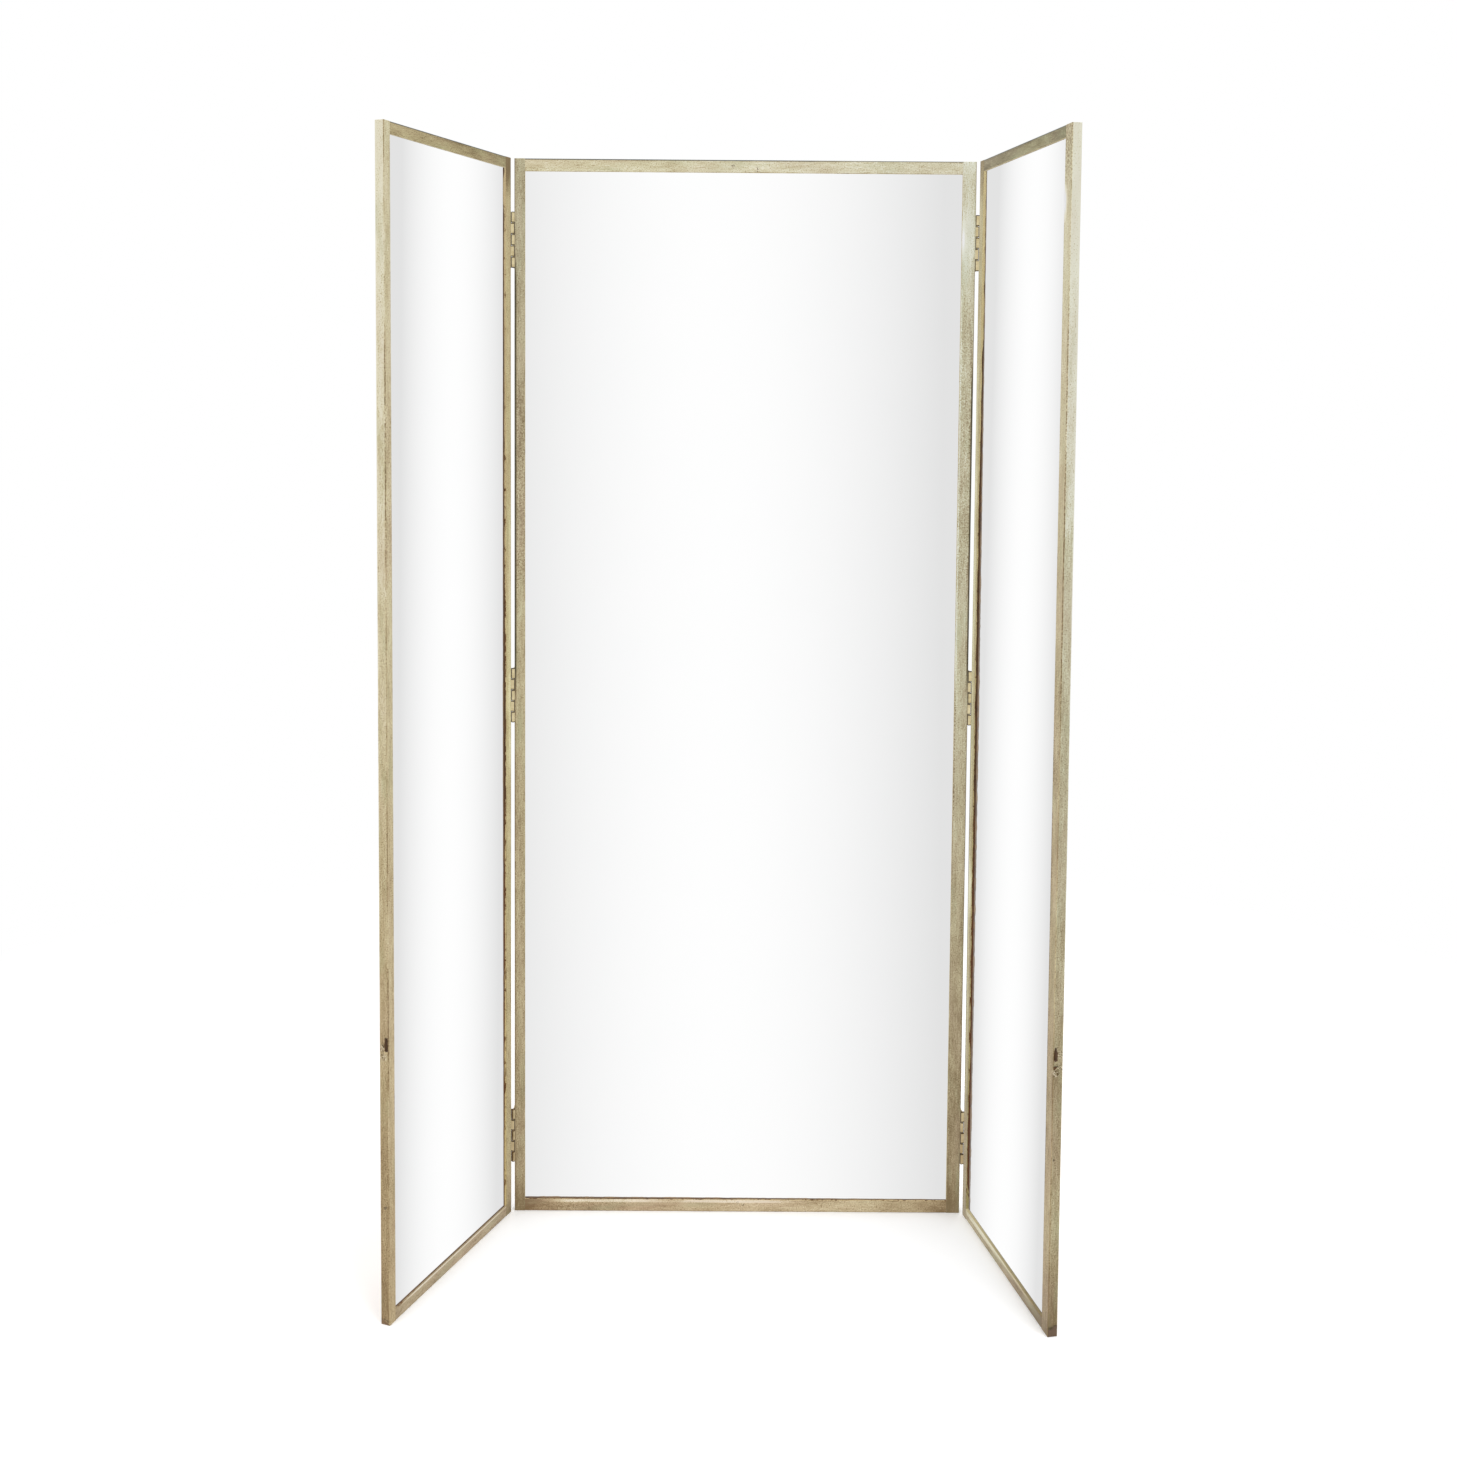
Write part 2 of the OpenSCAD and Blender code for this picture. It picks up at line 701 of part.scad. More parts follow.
module right_middle_hinge_pin() { right_hinge_pin(middle_z); }
module right_bottom_hinge_centre_leaf() { right_hinge_centre_leaf(bottom_z); }
module right_bottom_hinge_wing_leaf() { right_hinge_wing_leaf(bottom_z); }
module right_bottom_hinge_pin() { right_hinge_pin(bottom_z); }

centre_left_stile();
centre_right_stile();
centre_top_rail();
centre_bottom_rail();
centre_left_stile_cladding();
centre_right_stile_cladding();
centre_top_rail_cladding();
centre_bottom_rail_cladding();
centre_mirror_glass();
centre_backing_sheet();
centre_back_board();
centre_back_sprigs();
centre_cladding_tacks();
centre_hinge_screws();
left_wing_outer_stile();
left_wing_hinge_stile();
left_wing_top_rail();
left_wing_bottom_rail();
left_wing_outer_stile_cladding();
left_wing_hinge_stile_cladding();
left_wing_top_rail_cladding();
left_wing_bottom_rail_cladding();
left_wing_mirror_glass();
left_wing_backing_sheet();
left_wing_back_board();
left_wing_back_sprigs();
left_wing_cladding_tacks();
left_wing_hinge_screws();
right_wing_outer_stile();
right_wing_hinge_stile();
right_wing_top_rail();
right_wing_bottom_rail();
right_wing_outer_stile_cladding();
right_wing_hinge_stile_cladding();
right_wing_top_rail_cladding();
right_wing_bottom_rail_cladding();
right_wing_mirror_glass();
right_wing_backing_sheet();
right_wing_back_board();
right_wing_back_sprigs();
right_wing_cladding_tacks();
right_wing_hinge_screws();
left_top_hinge_centre_leaf();
left_top_hinge_wing_leaf();
left_top_hinge_pin();
left_middle_hinge_centre_leaf();
left_middle_hinge_wing_leaf();
left_middle_hinge_pin();
left_bottom_hinge_centre_leaf();
left_bottom_hinge_wing_leaf();
left_bottom_hinge_pin();
right_top_hinge_centre_leaf();
right_top_hinge_wing_leaf();
right_top_hinge_pin();
right_middle_hinge_centre_leaf();
right_middle_hinge_wing_leaf();
right_middle_hinge_pin();
right_bottom_hinge_centre_leaf();
right_bottom_hinge_wing_leaf();
right_bottom_hinge_pin();
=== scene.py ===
"""Looks of the three panel floor mirror: aged brass sheet over wood, plain mirror glass, plywood backs.

In metres: front is -Y, up is +Z, and the origin is the middle of the centre panel's foot.
"""

import json
import math

import bmesh
import bpy
from mathutils import Matrix, Vector, noise

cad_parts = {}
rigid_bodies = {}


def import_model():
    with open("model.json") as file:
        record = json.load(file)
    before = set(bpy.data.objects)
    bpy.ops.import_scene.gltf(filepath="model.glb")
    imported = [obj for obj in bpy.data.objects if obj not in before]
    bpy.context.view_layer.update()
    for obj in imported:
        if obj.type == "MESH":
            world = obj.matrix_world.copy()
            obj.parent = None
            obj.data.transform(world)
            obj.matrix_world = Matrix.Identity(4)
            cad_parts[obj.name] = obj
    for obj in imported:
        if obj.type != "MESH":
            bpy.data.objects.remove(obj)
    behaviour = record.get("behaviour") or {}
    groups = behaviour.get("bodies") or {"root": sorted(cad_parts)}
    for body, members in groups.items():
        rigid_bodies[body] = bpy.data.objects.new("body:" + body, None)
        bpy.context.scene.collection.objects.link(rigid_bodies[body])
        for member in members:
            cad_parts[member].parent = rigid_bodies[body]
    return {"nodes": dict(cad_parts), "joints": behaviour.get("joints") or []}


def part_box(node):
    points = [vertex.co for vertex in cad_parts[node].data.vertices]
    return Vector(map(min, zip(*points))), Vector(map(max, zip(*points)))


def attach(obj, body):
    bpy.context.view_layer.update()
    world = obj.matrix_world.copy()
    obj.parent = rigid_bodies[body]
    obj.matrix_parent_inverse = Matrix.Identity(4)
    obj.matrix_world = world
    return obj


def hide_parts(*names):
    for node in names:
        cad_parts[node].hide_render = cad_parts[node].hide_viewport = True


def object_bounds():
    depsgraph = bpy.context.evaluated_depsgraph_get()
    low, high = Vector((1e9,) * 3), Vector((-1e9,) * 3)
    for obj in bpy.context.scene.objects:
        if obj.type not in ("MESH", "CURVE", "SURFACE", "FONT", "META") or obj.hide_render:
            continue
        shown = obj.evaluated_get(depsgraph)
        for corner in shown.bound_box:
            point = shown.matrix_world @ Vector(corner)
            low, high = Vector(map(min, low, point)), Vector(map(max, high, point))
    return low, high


MM = 0.001

# ---- The sheet on the bars ----
SHEET_T = 0.8 * MM
RETURN_W = 6.0 * MM
BEND_R = 1.1 * MM
LIP_R = 0.35 * MM
END_INSET = 0.15 * MM
RING_STEP = 9.0 * MM
SHEET_WAVE = 0.05 * MM
SHEET_WAVELENGTH = 70 * MM
FRINGE = 0.25 * MM
SMOOTH_DEG = 35

# ---- Its ageing, with painted shade and highlights: from its ends and outer edge, round its bend, at its back edge and in bands ----
END_REACH = 70 * MM
RIM_REACH = 5 * MM
ROUND_BEND = (0.6 * MM, 1.6 * MM)
BACK_EDGE = (2.4 * MM, 0.8 * MM)
BAND_SOFT_ACROSS, BAND_SOFT_ALONG = 1.2 * MM, 50 * MM

# ---- The sheet's edge, turned in over the lip's inner wall ----
TURNED_T = 0.3 * MM
TURNED_STEP = 2.5 * MM
TURNED_FRONT = 0.25 * MM
TURNED_GAP = 0.1 * MM
TURNED_SHALLOWEST = 0.8 * MM
GLASS_GAP = 0.2 * MM
SWAY, SWAY_LONG, SWAY_SHORT = 1.6, 40 * MM, 12 * MM

# ---- The hinges' knuckles ----
KNUCKLES = 5
KNUCKLE_GAP = 0.8 * MM

# ---- Painted shade on them: from the pin outwards, off to one side of it, at a knuckle's foot and under its top ----
NOTCH_FROM = (2.65 * MM, 2.8 * MM)
PAINTED_SHADE_TO = (6.0 * MM, 4.2 * MM)
FLANK = (1.6 * MM, 2.0 * MM)
WIDE_SHADE_FLANK = (-1.2 * MM, 1.0 * MM)
KNUCKLE_FOOT = (1.5 * MM, 1.2 * MM)
KNUCKLE_TOP = (2.3 * MM, 2.0 * MM)

# ---- Wear on the wings' outer stiles, in the stile's own place ----
CATCH_Z = 421 * MM
CATCH_H = 21 * MM
CATCH_W = 6.2 * MM
TEAR_DROP = 20 * MM
TEAR_H = 5 * MM
TEAR_W = 7.5 * MM
NAIL_R = 1.1 * MM
LEFT_NAIL = (7.5 * MM, 175 * MM)
RIGHT_NAIL = (4.5 * MM, 264 * MM)
LEFT_WEAR_H = 8 * MM
RIGHT_WEAR_H = 17 * MM
CUT_OVER = 2 * MM
CURL_H = 0.6 * MM
CURL_T = 0.25 * MM
CURL_WAVELENGTH = 2 * MM
TORN_STEP, TORN_SHAKE = 1.1 * MM, 0.32 * MM
TEAR_STEP, TEAR_SHAKE = 1.0 * MM, 0.3 * MM
TORN_PARTS = 5
HOLE_SIDES = 20
LEFT_WAVER, LEFT_WAVELENGTH = 0.35 * MM, 1.5 * MM
RIGHT_WAVER, RIGHT_WAVELENGTH = 0.6 * MM, 1.8 * MM

# ---- Seeds of the uneven shapes ----
LEFT_FOOT_SEED, CURL_SEED, CATCH_SEED, RIGHT_FOOT_SEED, TEAR_SEED, TURNED_SEED = 3, 7, 11, 21, 31, 40

# ---- Camera, fitted to the photograph's 1457 x 1457 frame ----
PHOTO_W = 1457
FOCAL_PX = 1638.0
PRINCIPAL_PX = (714.1, 512.3)
CAMERA_AT = Vector((-0.0554, -2.6857, 1.3461))
CAMERA_YAW, CAMERA_PITCH, CAMERA_ROLL = 0.00312, -0.06231, 0.00728
SENSOR_MM = 36.0


def srgb(r, g, b):
    """A colour given as 0 to 255, as Blender's linear one."""

    def linear(c):
        c /= 255
        return c / 12.92 if c <= 0.04045 else ((c + 0.055) / 1.055) ** 2.4

    return (linear(r), linear(g), linear(b), 1.0)


# Even grey that metal and glass see round them, so that metals come out in their written colours.
STUDIO_GREY = 0.78


def metal(r, g, b):
    """A metal's own colour, for it to look like the one given from 0 to 255 in the studio."""
    return tuple(min(1.0, c / STUDIO_GREY) for c in srgb(r, g, b)[:3]) + (1.0,)


# Colours of the brass from freshly rubbed to darkest, by age from 0 to 1.
PATINA = (
    (0.00, metal(228, 224, 202)),
    (0.25, metal(207, 200, 166)),
    (0.50, metal(185, 172, 137)),
    (0.75, metal(160, 143, 111)),
    (1.00, metal(124, 106, 77)),
)

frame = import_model()
cad_low, cad_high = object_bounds()


# ---- Places ----


class Panel:
    """One panel. In its own place x runs from its left end, y back from its front face and z up."""

    def __init__(self, name, body, turn_deg):
        self.name, self.body = name, body
        self.turn = math.radians(turn_deg)
        self.place = Matrix.Rotation(self.turn, 4, "Z")
        sheets = [n for n in frame["nodes"] if n.startswith(name + "_") and n.endswith("_cladding")]
        low, high = self.span(*sheets)
        self.place = self.place @ Matrix.Translation(low)
        self.size = high - low
        glass, _ = self.span(name + "_mirror_glass")
        self.lip = glass.y

    def span(self, *nodes):
        """Lowest and highest corner of some CAD nodes, in the panel's own place."""
        inward = self.place.inverted()
        points = [inward @ v.co for n in nodes for v in frame["nodes"][n].data.vertices]
        low = Vector(min(p[i] for p in points) for i in range(3))
        high = Vector(max(p[i] for p in points) for i in range(3))
        return low, high


class Bar:
    """One bar. In its own place x runs inwards from its outer side, y back from the front and z along it."""

    def __init__(self, panel, side, name):
        self.panel, self.side = panel, side
        self.node = f"{panel.name}_{name}"
        self.rail = side in ("bottom", "top")
        low, high = panel.span(self.node + "_cladding")
        self.width = high.z - low.z if self.rail else high.x - low.x
        self.start, self.end = (low.x, high.x) if self.rail else (low.z, high.z)
        self.depth = panel.size.y
        width, height = panel.size.x, panel.size.z
        own = {
            "left": Matrix.Identity(4),
            "right": Matrix(((-1, 0, 0, width), (0, 1, 0, 0), (0, 0, 1, 0), (0, 0, 0, 1))),
            "bottom": Matrix(((0, 0, 1, 0), (0, 1, 0, 0), (1, 0, 0, 0), (0, 0, 0, 1))),
            "top": Matrix(((0, 0, 1, 0), (0, 1, 0, 0), (-1, 0, 0, height), (0, 0, 0, 1))),
        }
        self.place = panel.place @ own[side]


left_turn, right_turn = (-j["range_deg"][0] for j in frame["joints"])
centre = Panel("centre", "centre_panel", 0)
left_wing = Panel("left_wing", "left_wing", left_turn)
right_wing = Panel("right_wing", "right_wing", -right_turn)
panels = [centre, left_wing, right_wing]

STILES = {
    "centre": (("left", "left_stile"), ("right", "right_stile")),
    "left_wing": (("left", "outer_stile"), ("right", "hinge_stile")),
    "right_wing": (("right", "outer_stile"), ("left", "hinge_stile")),
}
RAILS = (("bottom", "bottom_rail"), ("top", "top_rail"))
bars = {}
for panel in panels:
    for side, name in STILES[panel.name] + RAILS:
        bar = Bar(panel, side, name)
        bars[bar.node] = bar


# ---- Meshes ----


def ripple(seed, *at):
    """Smooth noise from -1 to 1 at a place given in wavelengths."""
    x, y, z = (tuple(at) + (0.0, 0.0, 0.0))[:3]
    return noise.noise(Vector((x + 17.3 * seed, y + 5.1 * seed, z)))


def sweep(rings, place, marks=None):
    """A bmesh through closed rings of points, capped at both ends.

    marks gives named values to each point of a ring.
    """
    mesh = bmesh.new()
    layers = {name: mesh.verts.layers.float.new(name) for name in marks or {}}
    rows = []
    for ring in rings:
        row = [mesh.verts.new(place @ Vector(p)) for p in ring]
        for name, layer in layers.items():
            for v, value in zip(row, marks[name]):
                v[layer] = value
        rows.append(row)
    count = len(rings[0])
    for a, b in zip(rows, rows[1:]):
        for i in range(count):
            j = (i + 1) % count
            mesh.faces.new((a[i], a[j], b[j], b[i]))
    mesh.faces.new(rows[0])
    mesh.faces.new(rows[-1])
    return mesh


def finish_mesh(mesh, name, smooth_deg=SMOOTH_DEG):
    """Turns a bmesh into an object, smooth but for its sharp edges."""
    bmesh.ops.recalc_face_normals(mesh, faces=mesh.faces)
    for face in mesh.faces:
        face.smooth = True
    for edge in mesh.edges:
        edge.smooth = len(edge.link_faces) == 2 and edge.calc_face_angle(0) < math.radians(smooth_deg)
    data = bpy.data.meshes.new(name)
    mesh.to_mesh(data)
    mesh.free()
    made = bpy.data.objects.new(name, data)
    bpy.context.scene.collection.objects.link(made)
    return made


def dress(made, body, material):
    """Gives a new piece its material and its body."""
    made.data.materials.clear()
    made.data.materials.append(material)
    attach(made, body)


def prism(outline, x_low, x_high, place):
    """A cutter: an outline of (y, z) points, drawn out along x."""
    rings = [[(x, y, z) for y, z in outline] for x in (x_low, x_high)]
    return finish_mesh(sweep(rings, place), "cutter")


def cut(made, cutters):
    """Takes the cutters out of a piece."""
    for cutter in cutters:
        step = made.modifiers.new("cut", "BOOLEAN")
        step.operation, step.solver, step.object = "DIFFERENCE", "EXACT", cutter
    bpy.context.view_layer.update()
    graph = bpy.context.evaluated_depsgraph_get()
    data = bpy.data.meshes.new_from_object(made.evaluated_get(graph))
    made.modifiers.clear()
    made.data = data
    for cutter in cutters:
        bpy.data.objects.remove(cutter)


def ragged(corners, step, amount, seed):
    """A closed outline with its edges split and shaken, like torn sheet."""
    points = []
    for (y0, z0), (y1, z1) in zip(corners, corners[1:] + corners[:1]):
        length = math.hypot(y1 - y0, z1 - z0)
        count = max(1, round(length / step))
        for i in range(count):
            y, z = y0 + (y1 - y0) * i / count, z0 + (z1 - z0) * i / count
            shake = amount * ripple(seed, y / step * 0.6, z / step * 0.6)
            lift = amount * ripple(seed + 1, y / step * 0.6, z / step * 0.6)
            points.append((y + shake, z + lift))
    return points


def circle(y, z, radius):
    """Outline of a round hole."""
    turns = [math.tau * i / HOLE_SIDES for i in range(HOLE_SIDES)]
    return [(y + radius * math.cos(a), z + radius * math.sin(a)) for a in turns]


# ---- Brass sheet on the bars ----


def arc(cx, cy, rx, ry, start, end, count=4):
    """Points along a quarter bend, with both its ends."""
    angles = [math.radians(start + (end - start) * i / count) for i in range(count + 1)]
    return [(cx + rx * math.cos(a), cy + ry * math.sin(a)) for a in angles]


def sheet_section(bar, z, inset, seed):
    """The sheet's section at z: points round it, and which of its edges each is on."""
    w, t, r = bar.width - inset, bar.depth - inset, BEND_R
    wave = SHEET_WAVE * (1 + ripple(seed, z / SHEET_WAVELENGTH))
    side, front = inset + wave * 0.6, inset + wave
    back_bend = arc(side + r, t - r, r, r, 90, 180)
    front_bend = arc(side + r, front + r, r, r, 180, 270)
    lip_bend = arc(w - LIP_R, front + LIP_R, LIP_R, LIP_R, 270, 360, 2)
    section = [(RETURN_W, t, ""), (side + r + FRINGE, t, "")]
    section += [(x, y, "fringe") for x, y in back_bend]
    section += [(side, t - r - FRINGE, ""), (side, t * 0.5, ""), (side, front + r + FRINGE, "")]
    section += [(x, y, "ridge") for x, y in front_bend]
    section += [(side + r + FRINGE, front, ""), (w * 0.5, front, ""), (w - LIP_R - FRINGE * 2, front, "")]
    section += [(x, y, "edge") for x, y in lip_bend]
    section += [
        (w, SHEET_T, ""),
        (SHEET_T, SHEET_T, ""),
        (SHEET_T, bar.depth - SHEET_T, ""),
        (RETURN_W, bar.depth - SHEET_T, ""),
    ]
    return section


def sheet_stations(start, end, step):
    """Places along a bar for its rings, with a close pair at each end for the chamfer."""
    count = round((end - start) / step)
    middle = [start + (end - start) * i / count for i in range(1, count)]
    return [start, start + END_INSET] + middle + [end - END_INSET, end]


def bar_sheet(bar, seed):
    """A bar's sheet with rounded bends, in place of the CAD's sharp one."""
    rings = []
    for z in sheet_stations(bar.start, bar.end, RING_STEP):
        inset = END_INSET if z in (bar.start, bar.end) else 0.0
        section = sheet_section(bar, z, inset, seed)
        rings.append([(x, y, z) for x, y, _ in section])
    marks = {name: [float(edge == name) for _, _, edge in section] for name in ("ridge", "fringe", "edge")}
    made = finish_mesh(sweep(rings, bar.place, marks), bar.node + "_sheet")
    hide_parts(bar.node + "_cladding")
    return made


def at_height(rows, z):
    """The value at z in rows of (z, value)."""
    for (z0, low), (z1, high) in zip(rows, rows[1:]):
        if z < z1:
            return low + (high - low) * max(0.0, (z - z0) / (z1 - z0))
    return rows[-1][1]


def turned_edge(bar, name, depths, swing, seed):
    """The sheet's irregular edge, turned in over the lip's inner wall between the neighbouring bars."""
    others = [b for b in bars.values() if b.panel is bar.panel and b.rail != bar.rail]
    trim = {b.side: b.width for b in others}
    first, last = ("bottom", "top") if not bar.rail else ("left", "right")
    reach = bar.panel.size.x if bar.rail else bar.panel.size.z
    start, end = trim[first] + TURNED_GAP, reach - trim[last] - TURNED_GAP
    rings = []
    count = round((end - start) / TURNED_STEP)
    for i in range(count + 1):
        z = start + (end - start) * i / count
        sway = 0.7 * ripple(seed, z / SWAY_LONG) + 0.3 * ripple(seed + 3, z / SWAY_SHORT)
        deep = at_height(depths, z) * MM + swing * MM * sway * SWAY
        deep = min(bar.panel.lip - GLASS_GAP, max(TURNED_SHALLOWEST, deep))
        thick = TURNED_T * (1 + 0.35 * ripple(seed + 5, z / SWAY_SHORT))
        x = bar.width
        rings.append(
            [
                (x, TURNED_FRONT, z),
                (x + thick * 0.7, TURNED_FRONT + 0.05 * MM, z),
                (x + thick, TURNED_FRONT + 0.4 * MM, z),
                (x + thick, deep - 0.15 * MM, z),
                (x + thick * 0.5, deep, z),
                (x, deep, z),
            ]
        )
    return finish_mesh(sweep(rings, bar.place), name, smooth_deg=50)


def curled_lip(bar, path, name):
    """A thin torn lip of sheet, standing a little off the bar's outer side along a path of (y, z)."""
    rings = []
    for i, (y, z) in enumerate(path):
        uneven = 0.7 + 0.3 * ripple(CURL_SEED, y / CURL_WAVELENGTH, z / CURL_WAVELENGTH)
        rise = CURL_H * math.sin(math.pi * (i + 0.5) / len(path)) * uneven
        before, after = path[max(0, i - 1)], path[min(len(path) - 1, i + 1)]
        along = Vector((after[0] - before[0], after[1] - before[1])).normalized()
        out = Vector((-along.y, along.x))
        tip = (y + out.x * rise * 0.9, z + out.y * rise * 0.9)
        foot = (y - out.x * CURL_T, z - out.y * CURL_T)
        rings.append(
            [
                (0.1 * MM, foot[0], foot[1]),
                (-rise, tip[0], tip[1]),
                (-rise + CURL_T, tip[0] + out.x * CURL_T, tip[1] + out.y * CURL_T),
                (0.5 * MM, y + out.x * 0.1 * MM, z + out.y * 0.1 * MM),
            ]
        )
    worn = {"fringe": [0.4, 1.0, 1.0, 0.2]}
    return finish_mesh(sweep(rings, bar.place, worn), name, smooth_deg=60)


def catch_outline(bar, taper):
    """The ragged opening in the sheet over a catch mortise, taper being how much its top narrows."""
    y0, y1 = SHEET_T, SHEET_T + CATCH_W
    z0, z1 = CATCH_Z - CATCH_H / 2, CATCH_Z + CATCH_H / 2
    middle = (y0 + y1) / 2
    top = (y1 - y0) / 2 * (1 - taper)
    corners = [
        (y0 + 0.1 * MM, z0 + 1.5 * MM),
        (middle, z0),
        (y1, z0 + 0.8 * MM),
        (y1 + 0.3 * MM, z0 + CATCH_H * 0.55),
        (middle + top, z1 - 0.6 * MM),
        (middle - top, z1),
        (y0 + 0.2 * MM, z0 + CATCH_H * 0.6),
    ]
    return ragged(corners, TORN_STEP, TORN_SHAKE, CATCH_SEED + taper)


def left_foot_outline(bar):
    """The arc worn off the left wing's foot, climbing to the back: the cutter's outline, then the arc."""
    t, reach = bar.depth, bar.depth - 2 * SHEET_T
    climb = [math.radians(a) for a in range(90, 181, 6)]
    worn = [(t + reach * math.cos(a), LEFT_WEAR_H * math.sin(a)) for a in climb]
    worn = [(y, z + LEFT_WAVER * ripple(LEFT_FOOT_SEED, y / LEFT_WAVELENGTH)) for y, z in worn]
    return [(t + CUT_OVER, -CUT_OVER), (t + CUT_OVER, LEFT_WEAR_H)] + worn + [(t - reach, -CUT_OVER)], worn


def right_foot_outline(bar):
    """The patch torn off the right wing's foot, higher at the back."""
    t, h = bar.depth, RIGHT_WEAR_H
    top = [(SHEET_T, h * 0.62), (t * 0.25, h * 0.7), (t * 0.45, h * 0.66), (t * 0.7, h * 0.95), (t, h)]
    torn = []
    for (y0, z0), (y1, z1) in zip(top, top[1:]):
        for i in range(TORN_PARTS):
            y, z = y0 + (y1 - y0) * i / TORN_PARTS, z0 + (z1 - z0) * i / TORN_PARTS
            torn.append((y, z + RIGHT_WAVER * ripple(RIGHT_FOOT_SEED, y / RIGHT_WAVELENGTH)))
    torn.append((t + CUT_OVER, h))
    return [(SHEET_T, -CUT_OVER)] + torn + [(t + CUT_OVER, -CUT_OVER)]


def side_cuts(bar, outlines):
    """Cutters through the sheet on a bar's outer side only."""
    return [prism(o, -CUT_OVER, SHEET_T + 0.02 * MM, bar.place) for o in outlines]


# ---- Materials ----


class Paint:
    """A material or world being built: each call adds a node and gives its output."""

    def __init__(self, name, kind="Material"):
        library = bpy.data.worlds if kind == "World" else bpy.data.materials
        self.made = library.new(name)
        self.made.use_nodes = True
        self.tree = self.made.node_tree
        self.tree.nodes.clear()
        self.end = self.add("Output" + kind)

    def add(self, kind):
        return self.tree.nodes.new("ShaderNode" + kind)

    def finish(self, surface):
        self.tree.links.new(surface, self.end.inputs["Surface"])
        return self.made

    def node(self, kind, sockets=None, out=0, **settings):
        """Adds a node. A socket, given by name or number, takes a value or another node's output."""
        made = self.add(kind)
        for key, value in settings.items():
            setattr(made, key, value)
        for key, value in (sockets or {}).items():
            if isinstance(value, bpy.types.NodeSocket):
                self.tree.links.new(value, made.inputs[key])
            else:
                made.inputs[key].default_value = value
        return made.outputs[out]

    def place(self, panel=None):
        """Object coordinates, in a panel's own place if one is given."""
        at = self.node("TexCoord", out="Object")
        if panel is None:
            return at
        back = panel.place.inverted()
        return self.node(
            "Mapping",
            {"Vector": at, "Location": back.to_translation(), "Rotation": (0, 0, -panel.turn)},
        )

    def stretch(self, at, scale):
        return self.node("Mapping", {"Vector": at, "Scale": scale})

    def drawn(self, at, rail, along, across):
        """A place, scaled along a bar and across it."""
        return self.stretch(at, (along, across, across) if rail else (across, across, along))

    def noise(self, at, scale, detail, rough=0.55, distort=0.0):
        return self.node(
            "TexNoise",
            {"Vector": at, "Scale": scale, "Detail": detail, "Roughness": rough, "Distortion": distort},
        )

    def fit(self, value, low, high, to_low=0.0, to_high=1.0):
        return self.node(
            "MapRange",
            {"Value": value, "From Min": low, "From Max": high, "To Min": to_low, "To Max": to_high},
        )

    def math(self, operation, a, b=0.0):
        return self.node("Math", {0: a, 1: b}, operation=operation)

    def times(self, a, b):
        return self.math("MULTIPLY", a, b)

    def minus(self, a, b):
        return self.math("SUBTRACT", a, b)

    def mix(self, share, a, b, kind="MIX"):
        return self.node("Mix", {0: share, 6: a, 7: b}, out=2, data_type="RGBA", blend_type=kind)

    def blend(self, share, a, b):
        return self.node("Mix", {0: share, 2: a, 3: b}, data_type="FLOAT")

    def total(self, *values):
        made = values[0]
        for value in values[1:]:
            made = self.math("ADD", made, value)
        return made

    def ramp(self, value, stops):
        """Colours by value, as (value, colour) stops."""
        made = self.add("ValToRGB")
        elements = made.color_ramp.elements
        for i, (at, colour) in enumerate(stops):
            element = elements[i] if i < 2 else elements.new(at)
            element.position, element.color = at, colour
        self.tree.links.new(value, made.inputs["Fac"])
        return made.outputs["Color"]

    def mark(self, name):
        """How much a place is on one of a sheet's edges."""
        return self.node("Attribute", out="Fac", attribute_name=name)

    def along_bar(self, along, bar, ages):
        """A value that goes from its first through its second in the bar's middle to its third."""
        low, middle, high = ages
        half = (bar.start + bar.end) / 2
        return self.math(
            "ADD",
            self.fit(along, bar.start, half, low, middle),
            self.fit(along, half, bar.end, 0.0, high - middle),
        )

    def across(self, at, bar):
        """Distance in from a bar's outer side, at being in its panel's own place."""
        value = self.axis(at, "Z" if bar.rail else "X")
        if bar.side in ("right", "top"):
            far = bar.panel.size.z if bar.rail else bar.panel.size.x
            return self.minus(far, value)
        return value

    def axis(self, at, name):
        return self.node("SeparateXYZ", {"Vector": at}, out=name)

    def distance(self, at, point):
        return self.node("VectorMath", {0: at, 1: point}, out="Value", operation="DISTANCE")

    def near(self, at, point, reach):
        """1 at a point, falling to 0 at a distance from it."""
        return self.fit(self.distance(at, point), 0.0, reach, 1.0, 0.0)

    def oval(self, at, point, across, along):
        """1 round a point, falling to 0 at the given distances across and along an upright bar."""
        scale = Vector((1 / across, 1 / across, 1 / along))
        return self.fit(self.distance(self.stretch(at, scale), point * scale), 0.25, 1.0, 1.0, 0.0)

    def within(self, value, low, high, soft):
        """1 between two values, falling to 0 at a distance outside them."""
        apart = self.math("ABSOLUTE", self.minus(value, (low + high) / 2))
        return self.fit(apart, (high - low) / 2, (high - low) / 2 + soft, 1.0, 0.0)

    def bump(self, height, strength, distance):
        return self.node("Bump", {"Height": height, "Strength": strength, "Distance": distance})

    def rays(self):
        """Whether a ray comes from the camera, and whether from metal or glass."""
        ray = self.add("LightPath").outputs
        return ray["Is Camera Ray"], self.math("MAXIMUM", ray["Is Glossy Ray"], ray["Is Transmission Ray"])

    def shade(self, **sockets):
        named = {key.replace("_", " "): value for key, value in sockets.items()}
        return self.finish(self.node("BsdfPrincipled", named))


